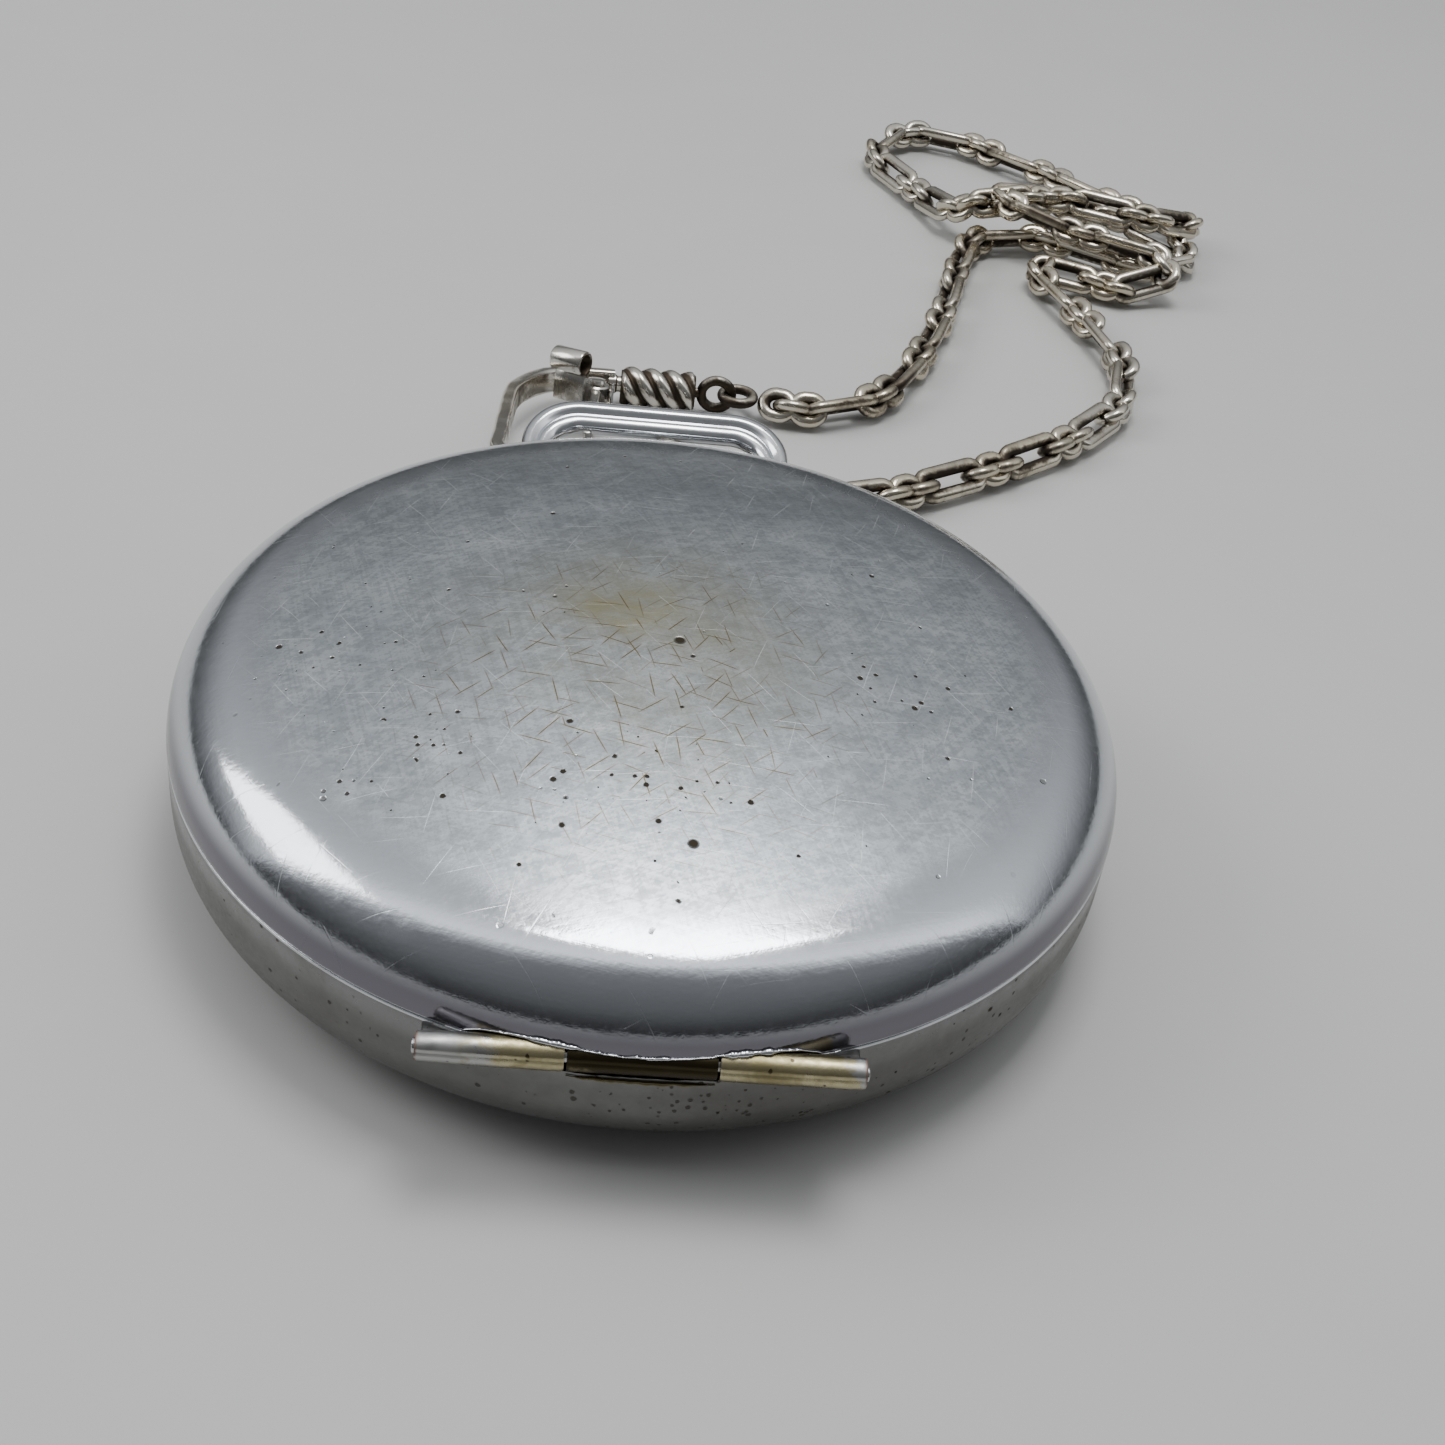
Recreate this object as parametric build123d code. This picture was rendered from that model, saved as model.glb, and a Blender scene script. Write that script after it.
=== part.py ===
from build123d import *
from math import atan2, cos, degrees, pi, radians, sin, sqrt, tan
import os

# A hunter pocket watch lying dial up. Millimetres. +Z points out of the dial, +Y to 12 o'clock,
# and the origin is the middle of the flat foot under the case.

os.makedirs("parts", exist_ok=True)

# ---- driving dimensions ----
# case shells
case_radius = 25.0
case_wall = 0.9
side_height = 2.86
corner_radius = 3.6
belly_radius = 150.0
foot_radius = 10.0
lid_wall = 0.8
lid_shoulder_radius = 4.5
lid_shoulder_drop = 0.2
lid_dome_radius = 95.0
seam_gap = 0.08

# hinge
hinge_inset = 0.5
hinge_drop = 0.1
knuckle_radius = 0.75
knuckle_swing_gap = 0.2
hinge_half_length = 9.9
lid_knuckle_half = 3.3
knuckle_end_gap = 0.12
pin_radius = 0.35
running_gap = 0.03
hinge_pin_reach = 0.15

# bezel, glass and dial
dial_radius = 21.2
dial_thickness = 0.35
dial_height_over_plate = 0.6
bezel_wall = 1.1
bezel_height = 1.6
glass_radius = 22.0
glass_thickness = 0.8
glass_edge = 0.8
glass_dome_radius = 110.0
glass_seat = 0.6
seat_gap = 0.02

# pendant, crown and bow
pendant_radius = 2.4
pendant_bore = 1.02
pendant_reach = 2.3
pendant_root = 1.9
crown_radius = 2.6
crown_length = 2.6
crown_gap = 0.3
crown_flutes = 26
flute_depth = 0.22
stem_radius = 0.6
stem_length = 17.8
stem_height = 4.9
collar_radius = 0.95
collar_length = 1.2
bow_pivot_reach = 1.3
bow_wire_radius = 0.9
bow_half_width = 7.85
bow_length = 7.0
bow_tilt = 18.0
bow_far_radius = 3.0
bow_near_radius = 2.3
bow_pin_radius = 0.6
bow_side_gap = 0.2

# movement levels, measured up from the table
plate_radius = 18.0
plate_low = 5.2
plate_thickness = 1.2
bridge_low = 2.25
bridge_thickness = 0.85
ring_clear = 0.3
pivot_radius = 0.2
arbor_radius = 0.35

# going train: teeth and modules
barrel_teeth = 80
centre_pinion_teeth = 10
barrel_module = 0.2
centre_teeth = 80
third_pinion_teeth = 10
centre_module = 0.15
third_teeth = 75
fourth_pinion_teeth = 10
third_module = 0.14
fourth_teeth = 70
escape_pinion_teeth = 7
fourth_module = 0.12
wheel_thickness = 0.2
tooth_backlash = 0.06
seconds_offset = 10.5
barrel_bearing = 143.0
escape_bearing = 195.0
escape_radius = 2.5
escape_count = 15

# motion work under the dial
cannon_teeth = 12
minute_wheel_teeth = 36
minute_pinion_teeth = 10
hour_wheel_teeth = 40
motion_module = 0.15
motion_bearing = 30.0
motion_thickness = 0.2

# winding work
ratchet_teeth = 50
crown_wheel_teeth = 30
winding_module = 0.2
winding_bearing = 27.5
winding_pinion_teeth = 12

# balance
balance_x = -11.4
balance_y = -7.4
balance_radius = 4.1
balance_rim = 0.55

# hands
hour_hand_length = 10.5
minute_hand_length = 16.5
seconds_hand_length = 3.6
hand_thickness = 0.15

# swivel clasp
clasp_y = 47.3
barrel_axis_z = 1.6
clasp_barrel_radius = 1.5
clasp_barrel_left = -2.4
clasp_barrel_right = 2.8
hook_neck_z = 1.9
hook_slope = 13.5
hook_thickness = 0.9
hook_height = 1.4
gate_width = 0.8
gate_height = 1.2
gate_hub_radius = 1.0
gate_pin_radius = 0.35
pin_head_radius = 0.7
pin_head_height = 0.3
lug_thickness = 0.45
lug_gap = 0.1
thumb_rise = 3.3
thumb_curl_radius = 0.85
thumb_curl_bore = 0.5
thumb_curl_length = 2.6
rib_count = 5
rib_depth = 0.25
rib_share = 0.72
shank_radius = 0.45
shank_depth = 1.2
ring_wire = 0.3
ring_mean_radius = 1.2
eye_centre_x = 4.7
link_offset = 1.6

# chain
chain_width = 3.2
chain_axis_z = 1.65
pile_height = 6.4
pile_chamfer = 1.6

# T-bar
bar_x = 1.1
bar_y = 32.6
bar_radius = 0.9
bar_half_length = 8.2
bar_z = 0.95

# ---- places that follow ----
belly_z = sqrt(belly_radius ** 2 - foot_radius ** 2)
corner_r = case_radius - corner_radius
corner_z = belly_z - sqrt((belly_radius - corner_radius) ** 2 - corner_r ** 2)
seam_z = corner_z + side_height
shoulder_r = case_radius - lid_shoulder_radius
shoulder_z = seam_z - lid_shoulder_drop
dome_z = shoulder_z - sqrt((lid_dome_radius - lid_shoulder_radius) ** 2 - shoulder_r ** 2)
hinge_y = -(case_radius - hinge_inset)
hinge_z = seam_z - hinge_drop
inner_radius = case_radius - case_wall
swing_radius = knuckle_radius + knuckle_swing_gap
plate_high = plate_low + plate_thickness
dial_low = plate_high + dial_height_over_plate
dial_high = dial_low + dial_thickness
bezel_low = dial_high + seat_gap
glass_low = bezel_low + glass_seat
bezel_radius = glass_radius + bezel_wall
bridge_high = bridge_low + bridge_thickness
pendant_end = case_radius + pendant_reach
bow_pivot_y = case_radius + bow_pivot_reach
crown_low = pendant_end + crown_gap


# ---- small helpers ----
def disc(radius, low, high, x=0.0, y=0.0):
    """Upright round bar between two heights."""
    base = (Align.CENTER, Align.CENTER, Align.MIN)
    return Pos(x, y, low) * Cylinder(radius, high - low, align=base)


def tube(outer, inner, low, high, x=0.0, y=0.0):
    return disc(outer, low, high, x, y) - disc(inner, low - 1, high + 1, x, y)


def rod_x(radius, left, right, y, z):
    """Round bar along X."""
    return Pos((left + right) / 2, y, z) * Rot(0, 90, 0) * Cylinder(radius, right - left)


def rod_y(radius, near, far, x, z):
    """Round bar along Y."""
    return Pos(x, (near + far) / 2, z) * Rot(90, 0, 0) * Cylinder(radius, far - near)


def torus_ring(mean, wire, x, y, z, upright=False):
    turn = Rot(90, 0, 0) if upright else Rot(0, 0, 0)
    return Pos(x, y, z) * turn * Torus(mean, wire)


def block(x0, x1, y0, y1, z0, z1):
    middle = Pos((x0 + x1) / 2, (y0 + y1) / 2, (z0 + z1) / 2)
    return middle * Box(x1 - x0, y1 - y0, z1 - z0)


def revolved(edges):
    return revolve(Face(Wire(edges)), axis=Axis.Z)


def write(name, *solids):
    """One STEP file for one node."""
    shape = solids[0] if len(solids) == 1 else Compound(children=list(solids))
    export_step(shape, f"parts/{name}.step")


def radial_arc(centre_z, radius, start, end, centre_r=0.0):
    """Arc in the XZ plane about (centre_r, centre_z) from one point to another."""
    a0 = atan2(start[1] - centre_z, start[0] - centre_r)
    a1 = atan2(end[1] - centre_z, end[0] - centre_r)
    am = (a0 + a1) / 2
    middle = (centre_r + radius * cos(am), 0, centre_z + radius * sin(am))
    return ThreePointArc((start[0], 0, start[1]), middle, (end[0], 0, end[1])).edge()


def span(start, end):
    return Line((start[0], 0, start[1]), (end[0], 0, end[1])).edge()


def gear(teeth, module, low, high, bore, x, y, toward, gap=False):
    """Spur gear whose tooth, or gap between teeth, points along the bearing `toward`."""
    pitch = teeth * module / 2
    root = pitch - 1.2 * module
    tip = pitch + 0.85 * module
    half = (pi * module / 2 - tooth_backlash) / 2 / pitch
    step = 2 * pi / teeth
    first = radians(toward) + (step / 2 if gap else 0)
    points = []
    for i in range(teeth):
        a = first + i * step
        for offset, r in ((-1.25 * half, root), (-0.5 * half, tip), (0.5 * half, tip), (1.25 * half, root)):
            points.append((r * cos(a + offset), r * sin(a + offset)))
    outline = Polyline(*points, close=True)
    body = extrude(make_face(outline), amount=high - low)
    placed = Pos(x, y, low) * body
    return placed - disc(bore, low - 1, high + 1, x, y) if bore else placed


def crossed(wheel, x, y, low, high, hub, rim, spokes, arm):
    """Wheel with its windows cut away, leaving a hub, arms and a rim."""
    window = tube(rim, hub, low - 1, high + 1, x, y)
    for i in range(spokes):
        turn = Rot(0, 0, 360 / spokes * i)
        bar = Pos(x, y, 0) * turn * block(0, rim + 1, -arm / 2, arm / 2, low - 2, high + 2)
        window = window - bar
    return wheel - window


def polar(x, y, distance, bearing):
    return x + distance * cos(radians(bearing)), y + distance * sin(radians(bearing))


def bearing_of(x0, y0, x1, y1):
    return degrees(atan2(y1 - y0, x1 - x0))


# ---- case shells ----
def bowl_points(inset):
    """Foot edge, belly end and wall foot of the bowl's curve, drawn in by `inset`."""
    belly = belly_radius - inset
    foot = sqrt(belly ** 2 - (belly_z - inset) ** 2)
    reach = belly_radius - corner_radius
    meet = (belly * corner_r / reach, belly_z - belly * (belly_z - corner_z) / reach)
    return (foot, inset), meet, (case_radius - inset, corner_z)


def bowl_solid(inset, top):
    foot, meet, wall = bowl_points(inset)
    edges = [span((0, inset), foot)]
    edges.append(radial_arc(belly_z, belly_radius - inset, foot, meet))
    edges.append(radial_arc(corner_z, corner_radius - inset, meet, wall, corner_r))
    edges.append(span(wall, (wall[0], top)))
    edges.append(span((wall[0], top), (0, top)))
    edges.append(span((0, top), (0, inset)))
    return revolved(edges)


def lid_solid(inset, low):
    shoulder = lid_shoulder_radius - inset
    dome = lid_dome_radius - inset
    edge_r = shoulder_r + sqrt(shoulder ** 2 - (low - shoulder_z) ** 2)
    reach = lid_dome_radius - lid_shoulder_radius
    meet = (dome * shoulder_r / reach, dome_z + dome * (shoulder_z - dome_z) / reach)
    edges = [span((0, low), (edge_r, low))]
    edges.append(radial_arc(shoulder_z, shoulder, (edge_r, low), meet, shoulder_r))
    edges.append(radial_arc(dome_z, dome, meet, (0, dome_z + dome)))
    edges.append(span((0, dome_z + dome), (0, low)))
    return revolved(edges)


def make_case():
    shell = bowl_solid(0, seam_z) - bowl_solid(case_wall, seam_z + 1)
    shell -= rod_x(knuckle_radius, -hinge_half_length - 1, hinge_half_length + 1, hinge_y, hinge_z)
    middle = lid_knuckle_half + knuckle_end_gap
    shell -= rod_x(swing_radius, -middle, middle, hinge_y, hinge_z)
    shell -= rod_y(pendant_radius, pendant_start, pendant_end + 1, 0, stem_height)
    write("case_body", shell)


def make_lid():
    low = seam_z + seam_gap
    lid = lid_solid(0, low) - lid_solid(lid_wall, low - 0.001)
    outer = hinge_half_length + 2 * knuckle_end_gap
    for side in (-1, 1):
        inner_end = side * lid_knuckle_half
        outer_end = side * outer
        ends = sorted((inner_end, outer_end))
        lid -= rod_x(swing_radius, ends[0], ends[1], hinge_y, hinge_z)
    lid -= rod_x(knuckle_radius, -lid_knuckle_half, lid_knuckle_half, hinge_y, hinge_z)
    write("lid", lid)


def make_hinge():
    inner_end = lid_knuckle_half + knuckle_end_gap
    knuckles = []
    for ends in ((-hinge_half_length, -inner_end), (inner_end, hinge_half_length)):
        sleeve = rod_x(knuckle_radius, ends[0], ends[1], hinge_y, hinge_z)
        sleeve -= rod_x(pin_radius, ends[0] - 1, ends[1] + 1, hinge_y, hinge_z)
        knuckles.append(sleeve)
    write("case_knuckles", *knuckles)
    middle = rod_x(knuckle_radius, -lid_knuckle_half, lid_knuckle_half, hinge_y, hinge_z)
    middle -= rod_x(pin_radius + running_gap, -lid_knuckle_half - 1, lid_knuckle_half + 1, hinge_y, hinge_z)
    write("lid_knuckle", middle)
    reach = hinge_half_length + hinge_pin_reach
    write("hinge_pin", rod_x(pin_radius, -reach, reach, hinge_y, hinge_z))


# ---- bezel, glass, ring and dial ----
ring_low = plate_low - 1.6
ring_inner = plate_radius + ring_clear
ring_outer = inner_radius - seat_gap


def make_bezel():
    low = bezel_low
    profile = [(dial_radius - 0.5, low), (bezel_radius, low), (bezel_radius, low + bezel_height * 0.6)]
    profile += [(bezel_radius - 0.5, low + bezel_height), (glass_radius + seat_gap, low + bezel_height)]
    profile += [(glass_radius + seat_gap, glass_low), (dial_radius - 0.5, glass_low)]
    edges = [span(a, b) for a, b in zip(profile, profile[1:] + profile[:1])]
    write("bezel", revolved(edges))


def glass_dome(radius, edge_z, edge_r):
    """Height of the dome's centre of curvature for a dome through (edge_r, edge_z)."""
    return edge_z - sqrt(radius ** 2 - edge_r ** 2)


def make_glass():
    top = glass_low + seat_gap + glass_edge
    outer_c = glass_dome(glass_dome_radius, top, glass_radius)
    inner_r = glass_radius - 1.0
    inner_radius_of_dome = glass_dome_radius - glass_thickness
    inner_z = sqrt(inner_radius_of_dome ** 2 - inner_r ** 2) + outer_c
    low = glass_low + seat_gap
    edges = [span((inner_r, low), (glass_radius, low)), span((glass_radius, low), (glass_radius, top))]
    edges.append(radial_arc(outer_c, glass_dome_radius, (glass_radius, top), (0, outer_c + glass_dome_radius)))
    inner_top = (0, outer_c + inner_radius_of_dome)
    edges.append(span((0, outer_c + glass_dome_radius), inner_top))
    edges.append(radial_arc(outer_c, inner_radius_of_dome, inner_top, (inner_r, inner_z)))
    edges.append(span((inner_r, inner_z), (inner_r, low)))
    write("crystal", revolved(edges))


def make_ring():
    body = tube(ring_outer, ring_inner, ring_low, dial_low - seat_gap)
    body &= bowl_solid(case_wall + seat_gap, seam_z + 1)
    body -= rod_y(stem_radius + 0.5, plate_radius - 1, case_radius, 0, stem_height)
    body -= catch_pocket()
    write("movement_ring", body)


def make_dial():
    dial = disc(dial_radius, dial_low, dial_high)
    dial -= disc(hour_tube_radius + 0.3, dial_low - 1, dial_high + 1)
    dial -= disc(arbor_radius + 0.25, dial_low - 1, dial_high + 1, 0, -seconds_offset)
    dial -= disc(seconds_hand_length + 0.6, dial_high - 0.1, dial_high + 1, 0, -seconds_offset)
    write("dial", dial)
    marks = []
    for hour in range(12):
        width, length = (1.1, 2.6) if hour % 3 == 0 else (0.6, 2.0)
        if hour == 6:
            continue
        bar = block(-width / 2, width / 2, dial_radius - 2.6 - length, dial_radius - 2.6, dial_high, dial_high + 0.12)
        marks.append(Rot(0, 0, -30 * hour) * bar)
    write("hour_markers", *marks)


# ---- catch that holds the lid shut ----
catch_r = ring_outer - 0.35
catch_thickness = 0.35
catch_low = plate_high - 0.3
catch_high = seam_z - 0.15
catch_start = 48.0
catch_end = 84.0
catch_root_radius = 0.36


def arc_wall(outer, inner, low, high, start, end):
    """Piece of a round wall between two bearings."""
    face = make_face(
        Curve() + [CenterArc((0, 0), outer, start, end - start), CenterArc((0, 0), inner, start, end - start),
                   Line(polar(0, 0, inner, start), polar(0, 0, outer, start)),
                   Line(polar(0, 0, inner, end), polar(0, 0, outer, end))])
    return Pos(0, 0, low) * extrude(face, amount=high - low)


def catch_pocket():
    return arc_wall(ring_outer + 1, catch_r - catch_thickness - 1.1, catch_low - 0.3, seam_z,
                    catch_start - 3, catch_end + 3)


def make_catch():
    """Sprung leaf on a round root that it flexes about."""
    leaf = arc_wall(catch_r, catch_r - catch_thickness, catch_low, catch_high, catch_start, catch_end)
    root_x, root_y = polar(0, 0, catch_r - catch_thickness / 2, catch_start)
    write("catch_spring", leaf + disc(catch_root_radius, catch_low, catch_high, root_x, root_y))


# ---- pendant, crown, stem and bow ----
pendant_start = case_radius - pendant_root


def make_pendant():
    neck = rod_y(pendant_radius, pendant_start, pendant_end, 0, stem_height)
    neck -= rod_y(pendant_bore, pendant_start - 1, pendant_end + 1, 0, stem_height)
    neck -= rod_x(bow_pin_radius + running_gap, -pendant_radius - 1, pendant_radius + 1, bow_pivot_y, stem_height)
    neck -= bowl_solid(case_wall, seam_z + 1)
    write("pendant", neck)


def fluted(radius, depth, count, length):
    """Round bar with straight flutes, along Z from 0."""
    points = []
    for i in range(count):
        for part, r in ((0.0, radius), (0.45, radius), (0.6, radius - depth), (0.85, radius - depth)):
            a = 2 * pi * (i + part) / count
            points.append((r * cos(a), r * sin(a)))
    return extrude(make_face(Polyline(*points, close=True)), amount=length)


def make_crown():
    knob = fluted(crown_radius, flute_depth, crown_flutes, crown_length)
    cap = Pos(0, 0, crown_length / 2) * Cylinder(crown_radius, crown_length)
    knob &= chamfer(cap.edges().filter_by(GeomType.CIRCLE), 0.4)
    knob -= Cylinder(stem_radius, crown_length)
    write("crown", Pos(0, crown_low, stem_height) * Rot(-90, 0, 0) * knob)
    stem_far = crown_low + crown_length / 2
    shaft = rod_y(stem_radius, stem_far - stem_length, stem_far, 0, stem_height)
    write("stem", shaft)
    collar_y = pendant_start + 0.6
    collar = rod_y(collar_radius, collar_y, collar_y + collar_length, 0, stem_height)
    collar -= rod_y(stem_radius + running_gap, collar_y - 1, collar_y + 3, 0, stem_height)
    write("stem_collar", collar)
    pinion = fluted(winding_pinion_teeth * 0.1, 0.25, winding_pinion_teeth, 1.4)
    pinion -= Cylinder(stem_radius, 10)
    write("winding_pinion", Pos(0, stem_far - stem_length + 0.5, stem_height) * Rot(-90, 0, 0) * pinion)


def make_bow():
    inner = pendant_radius + bow_side_gap
    far = bow_length
    wide = bow_half_width
    corners = [(-inner, 0), (-wide, 0), (-wide, far), (wide, far), (wide, 0), (inner, 0)]
    radii = [bow_near_radius, bow_far_radius, bow_far_radius, bow_near_radius]
    path = FilletPolyline(*corners, radius=radii)
    section = Plane(origin=(-inner, 0, 0), z_dir=(-1, 0, 0)) * Circle(bow_wire_radius)
    loop = sweep(section, path=path)
    for side in (-1, 1):
        ends = sorted((side * inner, side * (pendant_bore + 0.15)))
        loop += rod_x(bow_pin_radius, ends[0], ends[1], 0, 0)
    write("bow", Pos(0, bow_pivot_y, stem_height) * Rot(bow_tilt, 0, 0) * loop)


# ---- train layout ----
barrel_distance = (barrel_teeth + centre_pinion_teeth) * barrel_module / 2
third_distance = (centre_teeth + third_pinion_teeth) * centre_module / 2
fourth_distance = (third_teeth + fourth_pinion_teeth) * third_module / 2
escape_distance = (fourth_teeth + escape_pinion_teeth) * fourth_module / 2
motion_distance = (cannon_teeth + minute_wheel_teeth) * motion_module / 2
hour_module = 2 * motion_distance / (minute_pinion_teeth + hour_wheel_teeth)
winding_distance = (ratchet_teeth + crown_wheel_teeth) * winding_module / 2

barrel_x, barrel_y = polar(0, 0, barrel_distance, barrel_bearing)
fourth_x, fourth_y = 0.0, -seconds_offset
third_along = (third_distance ** 2 - fourth_distance ** 2 + seconds_offset ** 2) / (2 * seconds_offset)
third_x = sqrt(third_distance ** 2 - third_along ** 2)
third_y = -third_along
escape_x, escape_y = polar(fourth_x, fourth_y, escape_distance, escape_bearing)
motion_x, motion_y = polar(0, 0, motion_distance, motion_bearing)
crown_wheel_x, crown_wheel_y = polar(barrel_x, barrel_y, winding_distance, winding_bearing)

cannon_radius = 0.62
cannon_gap = 0.04
hour_tube_radius = 1.05
barrel_low = bridge_high + 0.15
barrel_high = barrel_low + 1.3
centre_low = barrel_high + 0.2
third_low = barrel_low + 0.75
fourth_low = barrel_low + 0.15
escape_low = third_low + 0.35
hour_hand_low = dial_high + 0.42
minute_hand_low = hour_hand_low + hand_thickness + 0.25
fork_low = escape_low - 0.05

to_escape = bearing_of(escape_x, escape_y, balance_x, balance_y)
pallet_x, pallet_y = polar(escape_x, escape_y, escape_radius + 1.05, to_escape)


def arbor(x, y, low, high, radius):
    """Arbor with thin pivots that run in the bridge and the plate."""
    body = disc(radius, bridge_high + 0.05, plate_low - 0.05, x, y)
    return body + disc(pivot_radius, low, high, x, y)


def make_train():
    # barrel, its arbor and spring
    rim = gear(barrel_teeth, barrel_module, barrel_high - 0.4, barrel_high, 0, barrel_x, barrel_y,
               bearing_of(barrel_x, barrel_y, 0, 0))
    drum_radius = barrel_teeth * barrel_module / 2 - 0.6
    drum = disc(drum_radius, barrel_low, barrel_high, barrel_x, barrel_y) + rim
    drum -= tube(drum_radius - 0.35, 0, barrel_low + 0.2, barrel_high - 0.2, barrel_x, barrel_y)
    drum -= disc(1.0 + running_gap, barrel_low - 1, barrel_high + 1, barrel_x, barrel_y)
    write("mainspring_barrel", drum)
    core = disc(1.0, barrel_low - 0.05, barrel_high + 0.1, barrel_x, barrel_y)
    core += disc(0.7, bridge_low - 0.06, plate_high - 0.3, barrel_x, barrel_y)
    write("barrel_arbor", core)
    write("mainspring", tube(drum_radius - 0.5, drum_radius - 2.6, barrel_low + 0.25, barrel_high - 0.25,
                             barrel_x, barrel_y))

    # centre wheel, pinion and the arbor that carries the cannon pinion
    wheel = gear(centre_teeth, centre_module, centre_low, centre_low + wheel_thickness, 0, 0, 0,
                 bearing_of(0, 0, third_x, third_y))
    wheel = crossed(wheel, 0, 0, centre_low, centre_low + wheel_thickness, 1.6, 5.1, 5, 0.5)
    wheel += gear(centre_pinion_teeth, barrel_module, barrel_low, barrel_high + 0.1, 0, 0, 0,
                  bearing_of(0, 0, barrel_x, barrel_y), gap=True)
    wheel += disc(0.45, bridge_high + 0.05, plate_low - 0.05)
    wheel += disc(arbor_radius, bridge_low + 0.1, minute_hand_low + 0.2)
    write("centre_wheel", wheel)

    # third wheel
    wheel = gear(third_teeth, third_module, third_low, third_low + wheel_thickness, 0, third_x, third_y,
                 bearing_of(third_x, third_y, fourth_x, fourth_y))
    wheel = crossed(wheel, third_x, third_y, third_low, third_low + wheel_thickness, 1.2, 4.4, 5, 0.4)
    wheel += gear(third_pinion_teeth, centre_module, third_low + 0.3, plate_low - 0.1, 0, third_x, third_y,
                  bearing_of(third_x, third_y, 0, 0), gap=True)
    wheel += arbor(third_x, third_y, bridge_low + 0.1, plate_low + 0.7, arbor_radius)
    write("third_wheel", wheel)

    # fourth wheel, whose long pivot carries the seconds hand
    wheel = gear(fourth_teeth, fourth_module, fourth_low, fourth_low + wheel_thickness, 0, fourth_x, fourth_y,
                 bearing_of(fourth_x, fourth_y, escape_x, escape_y))
    wheel = crossed(wheel, fourth_x, fourth_y, fourth_low, fourth_low + wheel_thickness, 1.0, 3.5, 5, 0.35)
    wheel += gear(fourth_pinion_teeth, third_module, fourth_low + 0.35, third_low + 0.5, 0, fourth_x, fourth_y,
                  bearing_of(fourth_x, fourth_y, third_x, third_y), gap=True)
    wheel += arbor(fourth_x, fourth_y, bridge_low + 0.1, dial_high + 0.3, arbor_radius)
    write("fourth_wheel", wheel)

    # escape wheel with raked teeth
    points = []
    for i in range(escape_count):
        a = 2 * pi * i / escape_count
        points.append((1.75 * cos(a - 0.1), 1.75 * sin(a - 0.1)))
        points.append((escape_radius * cos(a), escape_radius * sin(a)))
        points.append((escape_radius * cos(a + 0.06), escape_radius * sin(a + 0.06)))
        points.append((1.75 * cos(a + 0.16), 1.75 * sin(a + 0.16)))
    blank = extrude(make_face(Polyline(*points, close=True)), amount=wheel_thickness)
    wheel = Pos(escape_x, escape_y, escape_low) * blank
    wheel = crossed(wheel, escape_x, escape_y, escape_low, escape_low + wheel_thickness, 0.6, 1.35, 4, 0.25)
    wheel += gear(escape_pinion_teeth, fourth_module, fourth_low - 0.05, fourth_low + 0.4, 0, escape_x, escape_y,
                  bearing_of(escape_x, escape_y, fourth_x, fourth_y), gap=True)
    wheel += arbor(escape_x, escape_y, bridge_low + 0.1, plate_low + 0.7, 0.28)
    write("escape_wheel", wheel)


def make_escapement():
    # pallet fork: two arms that reach round the escape wheel, and a lever towards the balance
    back = to_escape + 180
    high = fork_low + 0.3
    hub = disc(0.5, fork_low, high, pallet_x, pallet_y)
    for side in (-1, 1):
        tip = polar(escape_x, escape_y, escape_radius + 0.32, to_escape + side * 42)
        reach = sqrt((tip[0] - pallet_x) ** 2 + (tip[1] - pallet_y) ** 2)
        turn = bearing_of(pallet_x, pallet_y, tip[0], tip[1])
        hub += Pos(pallet_x, pallet_y, 0) * Rot(0, 0, turn) * block(0, reach, -0.18, 0.18, fork_low, high)
    lever = sqrt((balance_x - pallet_x) ** 2 + (balance_y - pallet_y) ** 2) - 1.0
    hub += Pos(pallet_x, pallet_y, 0) * Rot(0, 0, back - 180) * block(0, lever, -0.2, 0.2, fork_low, high)
    hub += arbor(pallet_x, pallet_y, bridge_low + 0.1, plate_low + 0.7, 0.26)
    write("pallet_fork", hub)

    # balance: rim, arms, screws, staff and roller
    low = bridge_high + 0.3
    high = low + 0.4
    wheel = tube(balance_radius, balance_radius - balance_rim, low, high, balance_x, balance_y)
    for turn in (0, 90):
        arm = block(-balance_radius + 0.2, balance_radius - 0.2, -0.3, 0.3, low + 0.1, high - 0.1)
        wheel += Pos(balance_x, balance_y, 0) * Rot(0, 0, turn) * arm
    wheel += disc(0.4, bridge_high + 0.1, plate_low - 0.1, balance_x, balance_y)
    wheel += disc(0.7, fork_low - 0.1, fork_low + 0.1, balance_x, balance_y)
    wheel += disc(pivot_radius, bridge_low + 0.1, plate_low + 0.7, balance_x, balance_y)
    write("balance_wheel", wheel)
    coil = tube(2.2, 1.2, bridge_high + 0.05, bridge_high + 0.2, balance_x, balance_y)
    coil -= tube(1.95, 1.45, bridge_high, bridge_high + 0.3, balance_x, balance_y)
    stud = block(-0.15, 0.15, 1.2, 2.2, bridge_high + 0.05, bridge_high + 0.2)
    write("hairspring", coil + Pos(balance_x, balance_y, 0) * stud)


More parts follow.
